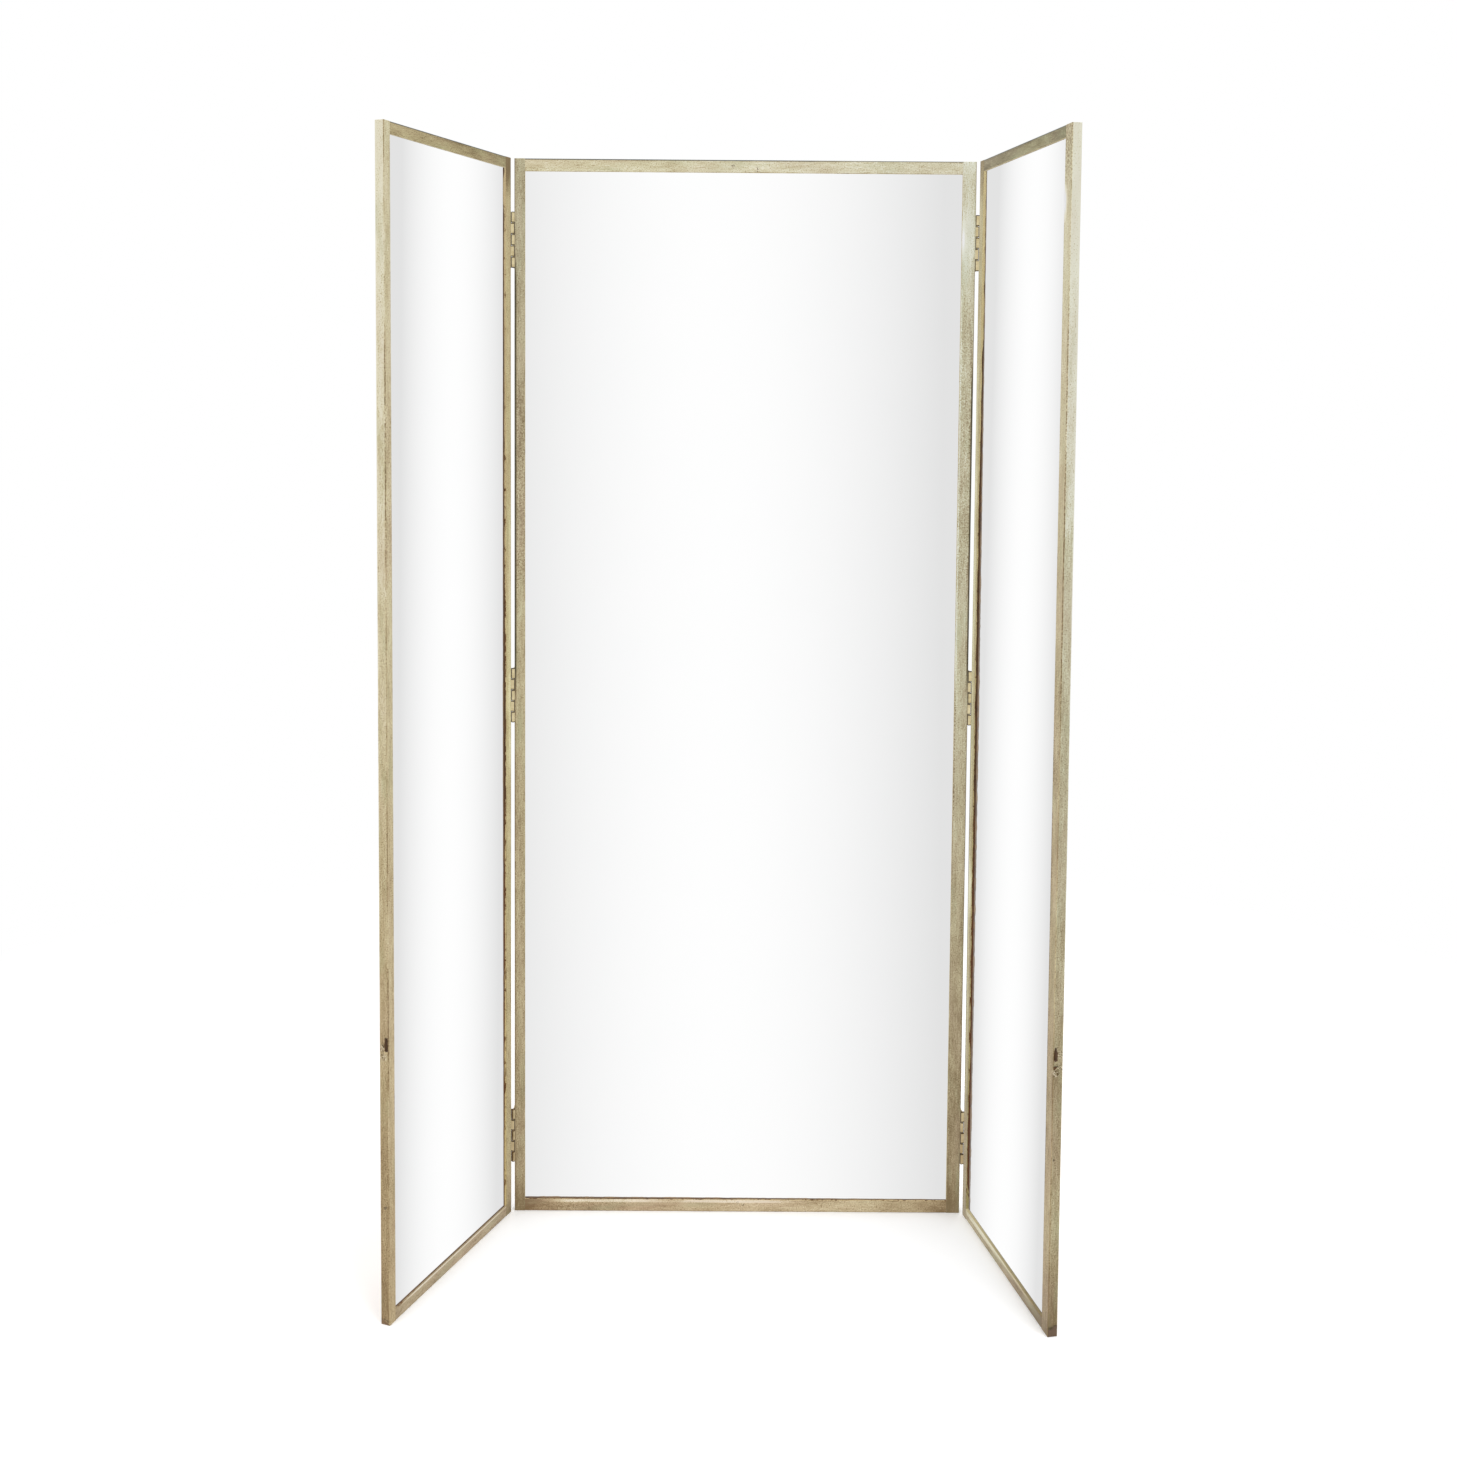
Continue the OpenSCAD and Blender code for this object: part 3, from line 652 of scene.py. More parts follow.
def brass_sheet(bar, ages, scuffs, painted_glints, bands, tints):
    """Aged brass sheet, rubbed lengthwise. Its marks are rows of SCUFFS, painted glints, BANDS of age,
    painted shade and painted highlight, and TINTS.
    """
    p = Paint(bar.node + "_brass")
    at = p.place(bar.panel)
    along = p.axis(at, "X" if bar.rail else "Z")
    thin = p.drawn(at, bar.rail, 1.0, 14.0)
    wide = p.drawn(at, bar.rail, 0.22, 1.0)
    streaks = p.noise(thin, 26.0, 6.0, 0.7)
    fine = p.noise(thin, 90.0, 4.0, 0.65)
    clouds = p.noise(wide, 60.0, 5.0, 0.6, 0.3)
    blots = p.noise(at, 150.0, 5.0, 0.65, 0.5)
    specks = p.noise(at, 520.0, 3.0, 0.6)
    chips = p.noise(at, 260.0, 4.0, 0.65)

    # Its age, from freshly rubbed to darkest, with painted shade and highlights in it.
    front, side, ends, rim_shade, ridge_light_and_shade = ages
    on_side = p.fit(p.axis(at, "Y"), *ROUND_BEND)
    on_front = p.minus(1.0, on_side)
    age = p.total(
        p.blend(on_side, p.along_bar(along, bar, front), p.along_bar(along, bar, side)),
        p.fit(along, bar.start, bar.start + END_REACH, ends[0], 0.0),
        p.fit(along, bar.end, bar.end - END_REACH, ends[1], 0.0),
        # Painted shade by the outer edge.
        p.times(on_front, p.fit(p.across(at, bar), 0.0, RIM_REACH, rim_shade, 0.0)),
        p.fit(streaks, 0.25, 0.75, -0.18, 0.18),
        p.fit(fine, 0.25, 0.75, -0.22, 0.22),
        p.fit(clouds, 0.25, 0.75, -0.16, 0.16),
        p.fit(blots, 0.56, 0.72, 0.0, 0.20),
        p.fit(specks, 0.54, 0.70, 0.0, 0.55),
        p.fit(specks, 0.44, 0.32, 0.0, -0.25),
    )
    long_noise = p.noise(wide, 22.0, 4.0, 0.6)
    ridge, fringe, edge = p.mark("ridge"), p.mark("fringe"), p.mark("edge")
    age = p.total(
        age,
        # Along the front bend: painted highlight with wear where its age is low, and painted shade where it
        # is high.
        p.times(ridge, p.fit(long_noise, 0.40, 0.60, *ridge_light_and_shade)),
        p.times(fringe, p.fit(long_noise, 0.35, 0.65, 0.1, -0.4)),
        p.times(edge, p.fit(streaks, 0.45, 0.60, -0.05, 0.5)),
    )
    # Painted glints: lighter by the age taken off, and near white at their middle.
    glint_share = 0.0
    for point, reach, length, amount in painted_glints:
        rubbed_and_glint = p.times(p.oval(at, point, reach * MM, length * MM), amount)
        age = p.minus(age, rubbed_and_glint)
        glint_share = p.math("MAXIMUM", p.fit(rubbed_and_glint, 0.5, 1.0), glint_share)
    if bar.node.endswith("outer_stile"):
        back = p.fit(p.axis(at, "Y"), *(bar.depth - before for before in BACK_EDGE))
        age = p.total(age, p.times(back, p.along_bar(along, bar, (0.05, -0.12, -0.4))))
    # Bands: a negative age is a painted highlight, narrow ones at the outer edge are painted shade, and those
    # adding more than 1 are painted shadow lines.
    tarnish_and_shade = 0.0
    for x0, x1, z0, z1, amount in bands:
        beside = p.within(p.across(at, bar), x0 * MM, x1 * MM, BAND_SOFT_ACROSS)
        band = p.times(beside, p.within(along, z0, z1, BAND_SOFT_ALONG))
        band = p.times(band, p.times(on_front, p.fit(streaks, 0.3, 0.6, 0.6, 1.1)))
        if 0 < amount <= 1:
            band = p.times(band, p.fit(chips, 0.44, 0.58, 0.15, 1.3))
        age = p.total(age, p.times(band, amount))
        if amount > 1:
            tarnish_and_shade = p.math("MAXIMUM", band, tarnish_and_shade)

    # Its colour by that age, with faint casts, painted shadow lines and painted glints over it.
    colour = p.ramp(age, PATINA)
    pink = p.noise(wide, 34.0, 3.0, 0.5)
    colour = p.mix(p.fit(pink, 0.45, 0.75, 0.0, 0.25), colour, metal(196, 172, 150))
    green = p.noise(wide, 48.0, 4.0, 0.55)
    colour = p.mix(p.fit(green, 0.52, 0.72, 0.0, 0.45), colour, metal(176, 176, 140))
    for tint, shares, where in tints:
        share = p.along_bar(along, bar, shares)
        if where != "all":
            share = p.times(share, on_front if where == "front" else on_side)
        colour = p.mix(share, colour, tint, "MULTIPLY")
    # Painted shade: a dark grey line along the top rails' top edge.
    if bar.side == "top":
        colour = p.mix(p.times(ridge, 0.75), colour, metal(116, 112, 104))
    # The painted shadow lines from the darkest bands: blue-grey on the rails, olive on the stiles.
    if tarnish_and_shade:
        tarnished_and_shaded = metal(88, 98, 98) if bar.rail else metal(74, 72, 58)
        colour = p.mix(p.times(tarnish_and_shade, 0.85), colour, tarnished_and_shaded)
    # The painted glints' near-white middles.
    if painted_glints:
        colour = p.mix(glint_share, colour, metal(244, 244, 236))

    relief = p.total(p.times(fine, 0.5), p.times(specks, 0.25))
    for point, reach in scuffs:
        mark = p.fit(p.near(at, point, reach * MM), 0.0, 0.5)
        broken = p.noise(at, 330.0, 3.0, 0.6, 1.2)
        rubbed_and_glint = p.times(mark, p.fit(broken, 0.54, 0.60))
        colour = p.mix(rubbed_and_glint, colour, metal(218, 206, 182))
        dents = p.times(mark, p.fit(broken, 0.47, 0.42))
        colour = p.mix(dents, colour, metal(78, 60, 38))
        relief = p.total(relief, p.times(rubbed_and_glint, 0.8))
    return p.shade(
        Base_Color=colour,
        Metallic=1.0,
        Roughness=p.fit(clouds, 0.3, 0.7, 0.26, 0.42),
        Normal=p.bump(relief, 0.35, 0.00012),
    )


def turned_brass(bar, stain, first, last):
    """The sheet's turned edge, stained brown by old glue and putty, from its first colour to its last."""
    p = Paint(bar.node + "_edge_brass")
    at = p.place(bar.panel)
    along = p.axis(at, "X" if bar.rail else "Z")
    blots = p.noise(p.stretch(at, (1.0, 1.0, 0.45)), 130.0, 5.0, 0.65, 0.8)
    fine = p.noise(at, 520.0, 4.0, 0.6)
    colour = p.mix(p.fit(along, bar.start, bar.end), first, last)
    colour = p.mix(p.fit(fine, 0.4, 0.7, 0.0, 0.5), colour, metal(178, 152, 106))
    stained = p.times(p.along_bar(along, bar, stain), 0.22)
    brown = p.fit(p.total(blots, stained), 0.66, 0.74)
    colour = p.mix(brown, colour, p.mix(p.fit(fine, 0.45, 0.65), metal(92, 60, 26), metal(122, 84, 42)))
    return p.shade(
        Base_Color=colour,
        Metallic=0.75,
        Roughness=p.fit(blots, 0.4, 0.7, 0.36, 0.62),
        Normal=p.bump(fine, 0.5, 0.0002),
    )


def hinge_brass(node, pin, own, away, wide_shade):
    """A hinge leaf's or pin's brass, pinker than the sheet.

    own says which of the five knuckles are the leaf's. Where the other leaf's knuckles turn, and round the
    ends of its own, it has painted shade. away is the side of its knuckles, by the sign of x, that has
    painted shade as well. When the last argument is true, that painted shade reaches half across them and is
    browner.
    """
    p = Paint(node + "_brass")
    at = p.place()
    cloud = p.noise(at, 120.0, 5.0, 0.6)
    fine = p.noise(at, 900.0, 3.0, 0.6)
    turned = p.noise(p.stretch(at, (0.2, 0.2, 6.0)), 260.0, 3.0, 0.6)
    height = p.axis(at, "Z")
    colour = p.mix(p.fit(cloud, 0.35, 0.65), metal(222, 208, 168), metal(198, 182, 140))
    colour = p.mix(p.fit(fine, 0.56, 0.75, 0.0, 0.5), colour, metal(150, 128, 92))
    colour = p.mix(p.fit(height, 0.25, 0.10, 0.0, 0.5), colour, metal(142, 108, 70))
    if own:
        low, high = (corner.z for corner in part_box(node))
        step = (high - low + KNUCKLE_GAP) / KNUCKLES
        part = p.math("DIVIDE", p.minus(height, low), step)
        within = p.times(p.math("FRACT", part), step)
        other = p.math("FLOORED_MODULO", p.total(p.math("FLOOR", part), own[0]), 2.0)
        flat = p.stretch(at, (1.0, 1.0, 0.0))
        apart = p.distance(flat, (pin[0], pin[1], 0.0))
        notch = p.times(other, p.fit(apart, *NOTCH_FROM))
        top = p.fit(within, *(step - below for below in KNUCKLE_TOP))
        ends = p.math("MAXIMUM", p.fit(within, *KNUCKLE_FOOT), top)
        aside = p.times(p.minus(p.axis(at, "X"), pin[0]), away)
        flank = p.fit(aside, *(WIDE_SHADE_FLANK if wide_shade else FLANK))
        flank = p.times(p.minus(1.0, other), flank)
        # Painted shade in the crevices: in the notches where the other leaf's knuckles turn, round the
        # knuckles' ends and down one flank.
        painted_shade = p.math("MAXIMUM", p.math("MAXIMUM", notch, ends), flank)
        painted_shade = p.times(painted_shade, p.fit(apart, *PAINTED_SHADE_TO))
        painted_shade = p.times(painted_shade, p.fit(cloud, 0.2, 0.6, 0.85, 1.0))
        colour = p.mix(painted_shade, colour, metal(72, 44, 8) if wide_shade else metal(52, 36, 14))
    relief = p.total(turned, p.times(fine, 0.6))
    return p.shade(
        Base_Color=colour,
        Metallic=1.0,
        Roughness=p.fit(cloud, 0.3, 0.7, 0.28, 0.44),
        Normal=p.bump(relief, 0.25, 0.0001),
    )


def small_metal(name, light, dark, rough):
    """Tacks, screws and sprigs: dull metal with darker spots."""
    p = Paint(name)
    at = p.place()
    spots = p.noise(at, 700.0, 4.0, 0.65)
    return p.shade(
        Base_Color=p.mix(p.fit(spots, 0.45, 0.68), light, dark),
        Metallic=1.0,
        Roughness=p.fit(spots, 0.3, 0.7, rough - 0.08, rough + 0.12),
        Normal=p.bump(spots, 0.4, 0.0002),
    )


def bare_wood(name, panel, rail, foot=None):
    """The bars' old hardwood, stained dark, with its grain along the bar.

    foot is its colour near the floor, how much of it, and from which height down.
    """
    p = Paint(name)
    at = p.place(panel)
    grain = p.noise(p.drawn(at, rail, 1.0, 14.0), 60.0, 8.0, 0.65, 0.3)
    pores = p.noise(p.drawn(at, rail, 0.06, 1.0), 2400.0, 3.0, 0.6)
    tone = p.noise(at, 30.0, 3.0)
    colour = p.mix(p.fit(grain, 0.3, 0.7), srgb(96, 64, 28), srgb(64, 40, 16))
    colour = p.mix(p.fit(tone, 0.45, 0.7, 0.0, 0.5), colour, srgb(118, 84, 44))
    if foot:
        tint, share, below = foot
        colour = p.mix(p.fit(p.axis(at, "Z"), below, below * 0.67, 0.0, share), colour, tint)
    colour = p.mix(p.fit(pores, 0.6, 0.75, 0.0, 0.7), colour, srgb(40, 24, 12))
    return p.shade(
        Base_Color=colour,
        Roughness=p.fit(grain, 0.3, 0.7, 0.6, 0.8),
        Normal=p.bump(p.total(grain, p.times(pores, 0.6)), 0.5, 0.0004),
    )


def plywood(name, panel):
    """The back board's face veneer: upright grain with arched figure, dusty in places."""
    p = Paint(name)
    at = p.place(panel)
    bent = p.noise(p.stretch(at, (1.0, 1.0, 0.22)), 5.0, 4.0, 0.5)
    rings = p.node(
        "TexWave",
        {"Vector": p.stretch(at, (1.0, 1.0, 0.05)), "Scale": 6.0, "Distortion": 16.0, "Detail": 4.0,
         "Detail Scale": 1.4, "Detail Roughness": 0.6},
        wave_type="BANDS",
        bands_direction="X",
        out="Fac",
    )
    fibre = p.noise(p.stretch(at, (1.0, 1.0, 0.02)), 900.0, 4.0, 0.65)
    dust = p.noise(at, 14.0, 5.0, 0.6)
    colour = p.mix(p.fit(rings, 0.1, 1.0), srgb(182, 142, 96), srgb(160, 119, 76))
    colour = p.mix(p.fit(bent, 0.35, 0.7, 0.0, 0.5), colour, srgb(168, 124, 80))
    colour = p.mix(p.fit(fibre, 0.52, 0.74, 0.0, 0.55), colour, srgb(112, 76, 44))
    colour = p.mix(p.fit(dust, 0.48, 0.75, 0.0, 0.35), colour, srgb(150, 132, 108))
    return p.shade(
        Base_Color=colour,
        Roughness=p.fit(fibre, 0.3, 0.7, 0.62, 0.78),
        Normal=p.bump(p.total(fibre, p.times(rings, 0.5)), 0.35, 0.0003),
    )


def backing_paper(name):
    """Brown paper between the glass and the back board."""
    p = Paint(name)
    at = p.place()
    pulp = p.noise(at, 260.0, 6.0, 0.7)
    return p.shade(
        Base_Color=p.mix(p.fit(pulp, 0.35, 0.7), srgb(168, 146, 112), srgb(132, 110, 80)),
        Roughness=p.fit(pulp, 0.3, 0.7, 0.82, 0.92),
        Normal=p.bump(pulp, 0.3, 0.0002),
    )


def mirror_glass(name, panel, edges):
    """Silvered glass: clear, with the faintest haze of old silver, and tarnished beside some of its bars.

    edges are (bar, how far in mm the tarnish reaches from it at its foot, middle and top, share).
    """
    p = Paint(name)
    at = p.place(panel)
    haze = p.noise(at, 9.0, 4.0, 0.6)
    eaten = p.noise(at, 70.0, 4.0, 0.5)
    colour = p.mix(p.fit(haze, 0.3, 0.7), (0.985, 0.985, 0.985, 1), (0.978, 0.980, 0.980, 1))
    for bar, reach, share in edges:
        along = p.axis(at, "X" if bar.rail else "Z")
        beside = p.minus(p.across(at, bar), bar.width)
        reach = p.along_bar(along, bar, [mm * MM for mm in reach])
        reach = p.times(reach, p.fit(eaten, 0.3, 0.7, 0.8, 1.2))
        tarnished_and_shaded = p.fit(p.minus(beside, reach), 0.15 * MM, -0.15 * MM, 0.0, share)
        brown = p.mix(p.fit(eaten, 0.4, 0.6), metal(80, 54, 24), metal(124, 94, 50))
        colour = p.mix(tarnished_and_shaded, colour, brown)
    return p.shade(Base_Color=colour, Metallic=1.0, Roughness=0.0)


# ---- The sheets and their wear ----

outer_left, outer_right = bars["left_wing_outer_stile"], bars["right_wing_outer_stile"]


def at_mm(x, y, z):
    """A place in a panel, given in mm."""
    return Vector((x * MM, y * MM, z * MM))


# Where the centre panel and the right wing end on the right, and how high the mortises' middle is, in mm.
centre_side, right_side, CATCH_MM = centre.size.x / MM, right_wing.size.x / MM, CATCH_Z / MM

# Scuffed and dented spots: (place in the panel, reach in mm).
SCUFFS = {
    "centre_top_rail": [(at_mm(354, 0, 1739), 5), (at_mm(393, 0, 1735), 5)],
    "centre_bottom_rail": [(at_mm(375, 0, 15), 3), (at_mm(384, 0, 13), 4)],
    "left_wing_outer_stile": [(at_mm(0, 12, CATCH_MM - 4), 9), (at_mm(0, 9, CATCH_MM - 18), 8)],
    "right_wing_outer_stile": [
        (at_mm(right_side, 12, CATCH_MM), 8),
        (at_mm(right_side, 12, CATCH_MM - 18), 7),
        (at_mm(right_side, 4.5, CATCH_MM - 27), 7),
    ],
}

# Age of the brass along each bar's front, along its side, more at its two ends, more at its outer edge,
# and on the outer edge itself where it is least and most. The dark sides of the centre and hinge stiles,
# which face the gaps between the panels, are painted shade, and so is the age added at the outer edge. The
# outer edge's own age is painted shade above 0, and painted highlight with wear below it.
AGES = {
    "centre_left_stile": ((0.74, 0.52, 0.56), (0.9, 0.9, 0.9), (0.28, 0.0), 0.15, (0.1, 0.5)),
    "centre_right_stile": ((0.88, 0.36, 0.22), (0.9, 0.9, 0.9), (0.2, -0.15), 0.15, (0.1, 0.5)),
    "centre_bottom_rail": ((0.58, 0.44, 0.50), (0.6, 0.52, 0.6), (0.5, 0.45), 0.0, (0.0, 0.3)),
    "centre_top_rail": ((0.26, 0.22, 0.22), (0.4, 0.4, 0.4), (0.05, 0.05), 0.12, (0.3, 0.9)),
    "left_wing_outer_stile": ((0.55, 0.36, 0.28), (0.78, 0.28, -0.05), (0.0, 0.0), 0.0, (-0.2, 0.45)),
    "left_wing_hinge_stile": ((0.60, 0.38, 0.52), (0.9, 0.9, 0.9), (0.4, 0.85), 0.10, (0.3, 0.7)),
    "left_wing_bottom_rail": ((0.52, 0.48, 0.60), (0.6, 0.6, 0.6), (0.1, 0.1), 0.12, (-0.4, 0.3)),
    "left_wing_top_rail": ((0.54, 0.62, 0.72), (0.6, 0.6, 0.6), (0.05, 0.1), 0.12, (0.3, 0.8)),
    "right_wing_outer_stile": ((0.76, 0.48, 0.20), (0.84, 0.40, -0.25), (0.25, 0.1), 0.0, (-0.25, 0.2)),
    "right_wing_hinge_stile": ((0.72, 0.54, 0.42), (0.95, 0.95, 0.3), (0.1, 0.45), 0.10, (0.2, 0.6)),
    "right_wing_bottom_rail": ((0.46, 0.66, 1.05), (0.6, 0.6, 0.6), (0.15, 0.1), 0.12, (-0.3, 0.3)),
    "right_wing_top_rail": ((0.84, 0.76, 0.80), (0.6, 0.6, 0.6), (0.1, 0.1), 0.12, (0.3, 0.8)),
}

# Painted glints on the brass: (place in the panel, reach across and along in mm, age taken off).
PAINTED_GLINTS = {
    "centre_right_stile": [
        (at_mm(centre_side - 20, 0, 1625), 5, 34, 1.0),
        (at_mm(centre_side - 14, 0, 1630), 16, 75, 0.35),
    ],
    "right_wing_outer_stile": [
        (at_mm(right_side - 21, 0, 1642), 9, 30, 1.1),
        (at_mm(right_side, 4, 175), 40, 100, 0.22),
    ],
    "right_wing_hinge_stile": [(at_mm(12, 0, 560), 20, 60, 0.5)],
}

# Bands along a bar's front: (from, to across it in mm, from, to along it in m, added age). Narrow ones along
# the outer edge are painted shade, and one that adds more than 1 is a painted shadow line as dark as tarnish;
# one with a negative age is a painted highlight.
BANDS = {
    "right_wing_outer_stile": [
        (3.0, 25, 0.80, 0.98, 0.15),
        (21.0, 25, 0.25, 0.85, 0.7),
        (-2, 1.4, 0.95, 1.45, 0.6),
        (-2, 25, 1.69, 1.80, 0.35),
    ],
    "left_wing_outer_stile": [
        (-2, 1.2, 1.15, 1.42, 0.6),
        (-2, 1.2, 0.40, 0.50, 0.6),
        (2.0, 18, 1.12, 1.32, 0.16),
    ],
    "centre_bottom_rail": [
        (15.6, 22, 0.09, 0.22, -0.5),
        (15.8, 22, 0.30, 0.42, -0.6),
        (-2, 15, 0.09, 0.18, 0.15),
    ],
    "centre_top_rail": [(-2, 1.1, -0.1, 0.48, 1.1), (-2, 0.3, 0.5, 0.9, 1.1)],
    "left_wing_top_rail": [(-2, 0.8, -0.1, 0.5, 1.1), (-2, 4.5, 0.15, 0.5, 0.15)],
    "right_wing_top_rail": [
        (-2, 0.8, -0.1, 0.5, 1.1),
        (-2, 4.5, -0.1, 0.5, 0.15),
        (-2, 20, 0.325, 0.40, 0.45),
        (-2, 20, 0.20, 0.33, -0.15),
    ],
    "left_wing_bottom_rail": [(15.8, 20, 0.07, 0.32, -0.8)],
    "right_wing_bottom_rail": [(10.5, 20, 0.035, 0.15, -0.5), (14.2, 17.2, 0.10, 0.28, -0.6)],
    "left_wing_hinge_stile": [(-2, 8.5, 0.76, 1.15, -0.24), (-2, 0.8, 0.20, 1.50, 0.5)],
    "right_wing_hinge_stile": [(1.5, 9.5, 0.22, 1.40, -0.28), (-2, 2.2, 0.22, 0.86, 1.1)],
    "centre_left_stile": [
        (-2, 2.4, 0.92, 1.55, 1.1),
        (-2, 1.2, 0.22, 0.86, 0.5),
        (1.0, 24, 1.08, 1.36, 0.25),
    ],
    "centre_right_stile": [
        (-2, 2.2, 0.93, 1.38, 1.1),
        (-2, 5.5, 0.93, 1.45, 0.15),
        (20.5, 24, 0.70, 0.86, 0.5),
        (3.0, 24, 1.08, 1.50, 0.18),
        (20.0, 24, 0.92, 1.50, -0.3),
    ],
}

# Casts of colour: (colour to multiply by, its share at the bar's foot, middle and top, which of its faces).
TINTS = {
    "centre_left_stile": [((0.93, 1.01, 1.12, 1), (0.0, 0.1, 0.8), "all")],
    "centre_right_stile": [((0.90, 0.96, 1.07, 1), (0.2, 0.7, 0.8), "all")],
    "centre_bottom_rail": [((1.02, 0.93, 0.93, 1), (0.9, 1.0, 0.5), "all")],
    "centre_top_rail": [((0.98, 1.0, 1.09, 1), (0.0, 0.5, 1.0), "all")],
    "left_wing_outer_stile": [((1.02, 0.93, 0.86, 1), (1.0, 0.5, 0.1), "all")],
    "left_wing_hinge_stile": [((1.0, 0.97, 0.80, 1), (0.6, 1.0, 0.7), "all")],
    "left_wing_bottom_rail": [((0.94, 0.88, 0.90, 1), (1.0, 1.0, 1.0), "all")],
    "left_wing_top_rail": [((0.98, 1.0, 0.90, 1), (1.0, 1.0, 1.0), "all")],
    "right_wing_outer_stile": [
        ((0.93, 0.98, 1.07, 1), (0.0, 0.9, 0.5), "side"),
        ((1.03, 0.97, 0.90, 1), (1.0, 0.6, 0.0), "front"),
    ],
    "right_wing_hinge_stile": [((0.98, 0.98, 0.84, 1), (0.4, 1.0, 0.8), "all")],
    "right_wing_bottom_rail": [((0.95, 0.93, 0.90, 1), (1.0, 1.0, 1.0), "all")],
    "right_wing_top_rail": [((0.88, 0.98, 0.92, 1), (1.0, 1.0, 1.0), "all")],
}

sheets = {}
for seed, bar in enumerate(bars.values()):
    marks = (table.get(bar.node, ()) for table in (SCUFFS, PAINTED_GLINTS, BANDS, TINTS))
    material = brass_sheet(bar, AGES[bar.node], *marks)
    sheets[bar.node] = bar_sheet(bar, seed)
    dress(sheets[bar.node], bar.panel.body, material)

left_foot, left_foot_edge = left_foot_outline(outer_left)
cut(
    sheets[outer_left.node],
    side_cuts(outer_left, [catch_outline(outer_left, taper=0.25), circle(*LEFT_NAIL, NAIL_R), left_foot]),
)
tear = [
    (SHEET_T, CATCH_Z - TEAR_DROP + TEAR_H / 2),
    (SHEET_T + TEAR_W, CATCH_Z - TEAR_DROP + TEAR_H / 2),
    (SHEET_T + TEAR_W / 3, CATCH_Z - TEAR_DROP - TEAR_H / 2),
    (SHEET_T, CATCH_Z - TEAR_DROP - TEAR_H / 2),
]
cut(
    sheets[outer_right.node],
    side_cuts(
        outer_right,
        [
            catch_outline(outer_right, taper=0.7),
            circle(*RIGHT_NAIL, NAIL_R),
            ragged(tear, TEAR_STEP, TEAR_SHAKE, TEAR_SEED),
            right_foot_outline(outer_right),
        ],
    ),
)

curl = curled_lip(outer_left, left_foot_edge[1:-2], "left_wing_foot_curl")
dress(curl, left_wing.body, sheets[outer_left.node].data.materials[0])

# The turned edge: rows of (m along the bar, depth in mm), how much the depth varies in mm, how stained it is
# at its foot, middle and top, and its colour at its start and end.
LEFT_DEPTHS = (
    ((0.05, 3.8), (0.30, 3.0), (0.66, 2.2), (0.72, 1.0), (0.88, 1.0), (0.94, 1.8), (1.06, 2.6), (1.34, 2.8))
    + ((1.40, 3.2), (1.655, 3.2), (1.68, 4.6), (1.715, 4.6), (1.725, 2.5))
)
RIGHT_DEPTHS = (
    ((0.045, 4.8), (0.06, 1.2), (0.20, 1.3), (0.24, 2.6), (0.36, 2.6), (0.42, 1.2), (1.20, 1.2), (1.26, 2.2))
    + ((1.42, 2.8), (1.46, 3.9), (1.58, 4.5))
)
CENTRE_DEPTHS = ((0.0, 1.4), (0.25, 2.0), (0.6, 3.4))
TURNED = {
    "left_wing_hinge_stile": (LEFT_DEPTHS, 0.7, (0.45, 1.0, 0.1), (196, 176, 124), (190, 172, 134)),
    "right_wing_hinge_stile": (RIGHT_DEPTHS, 1.3, (0.7, 0.7, -0.3), (150, 140, 92), (200, 186, 142)),
    "centre_bottom_rail": (CENTRE_DEPTHS, 1.2, (0.6, 0.6, 0.6), (188, 168, 128), (188, 168, 128)),
    "left_wing_bottom_rail": (((0, 2.8),), 0.3, (0.5, 0.3, 0.4), (146, 128, 98), (142, 126, 96)),
    "right_wing_bottom_rail": (((0, 4.6),), 0.3, (0.0, 0.1, 0.4), (182, 172, 132), (112, 100, 66)),
}
TURNED_PLAIN = (((0, 4.0),), 0.5, (0.3, 0.3, 0.3), (196, 182, 140), (196, 182, 140))
for seed, bar in enumerate(bars.values()):
    depths, swing, stain, first, last = TURNED.get(bar.node, TURNED_PLAIN)
    edge = turned_edge(bar, bar.node + "_turned_edge", depths, swing, TURNED_SEED + seed)
    material = turned_brass(bar, stain, metal(*first), metal(*last))
    dress(edge, bar.panel.body, material)


# ---- The CAD's own pieces ----


def paint_node(node, material):
    """Gives a CAD node its material."""
    slots = frame["nodes"][node].data.materials
    slots.clear()
    slots.append(material)


# Bare wood near the floor: its colour, how much of it, and from which height down in m.
WOOD_FEET = {
    "left_wing_hinge_stile": (srgb(116, 68, 34), 0.6, 0.75),
    "right_wing_hinge_stile": (srgb(116, 68, 34), 0.6, 0.75),
    "left_wing_outer_stile": (srgb(138, 112, 82), 0.8, 0.03),
    "right_wing_outer_stile": (srgb(104, 84, 66), 0.9, 0.04),
}
for bar in bars.values():
    paint_node(bar.node, bare_wood(bar.node + "_wood", bar.panel, bar.rail, WOOD_FEET.get(bar.node)))

# Where the glass is tarnished: beside which bar, how far in mm at its foot, middle and top, and how much.
TARNISH = (
    ("centre_bottom_rail", (2.2, 1.8, 1.0), 0.9),
    ("left_wing_bottom_rail", (0.6, 0.6, 0.6), 0.7),
    ("right_wing_bottom_rail", (0.4, 0.4, 0.4), 0.6),
    ("left_wing_hinge_stile", (1.5, 2.4, 0.8), 0.9),
    ("right_wing_hinge_stile", (7.0, 8.0, 2.0), 0.95),
)

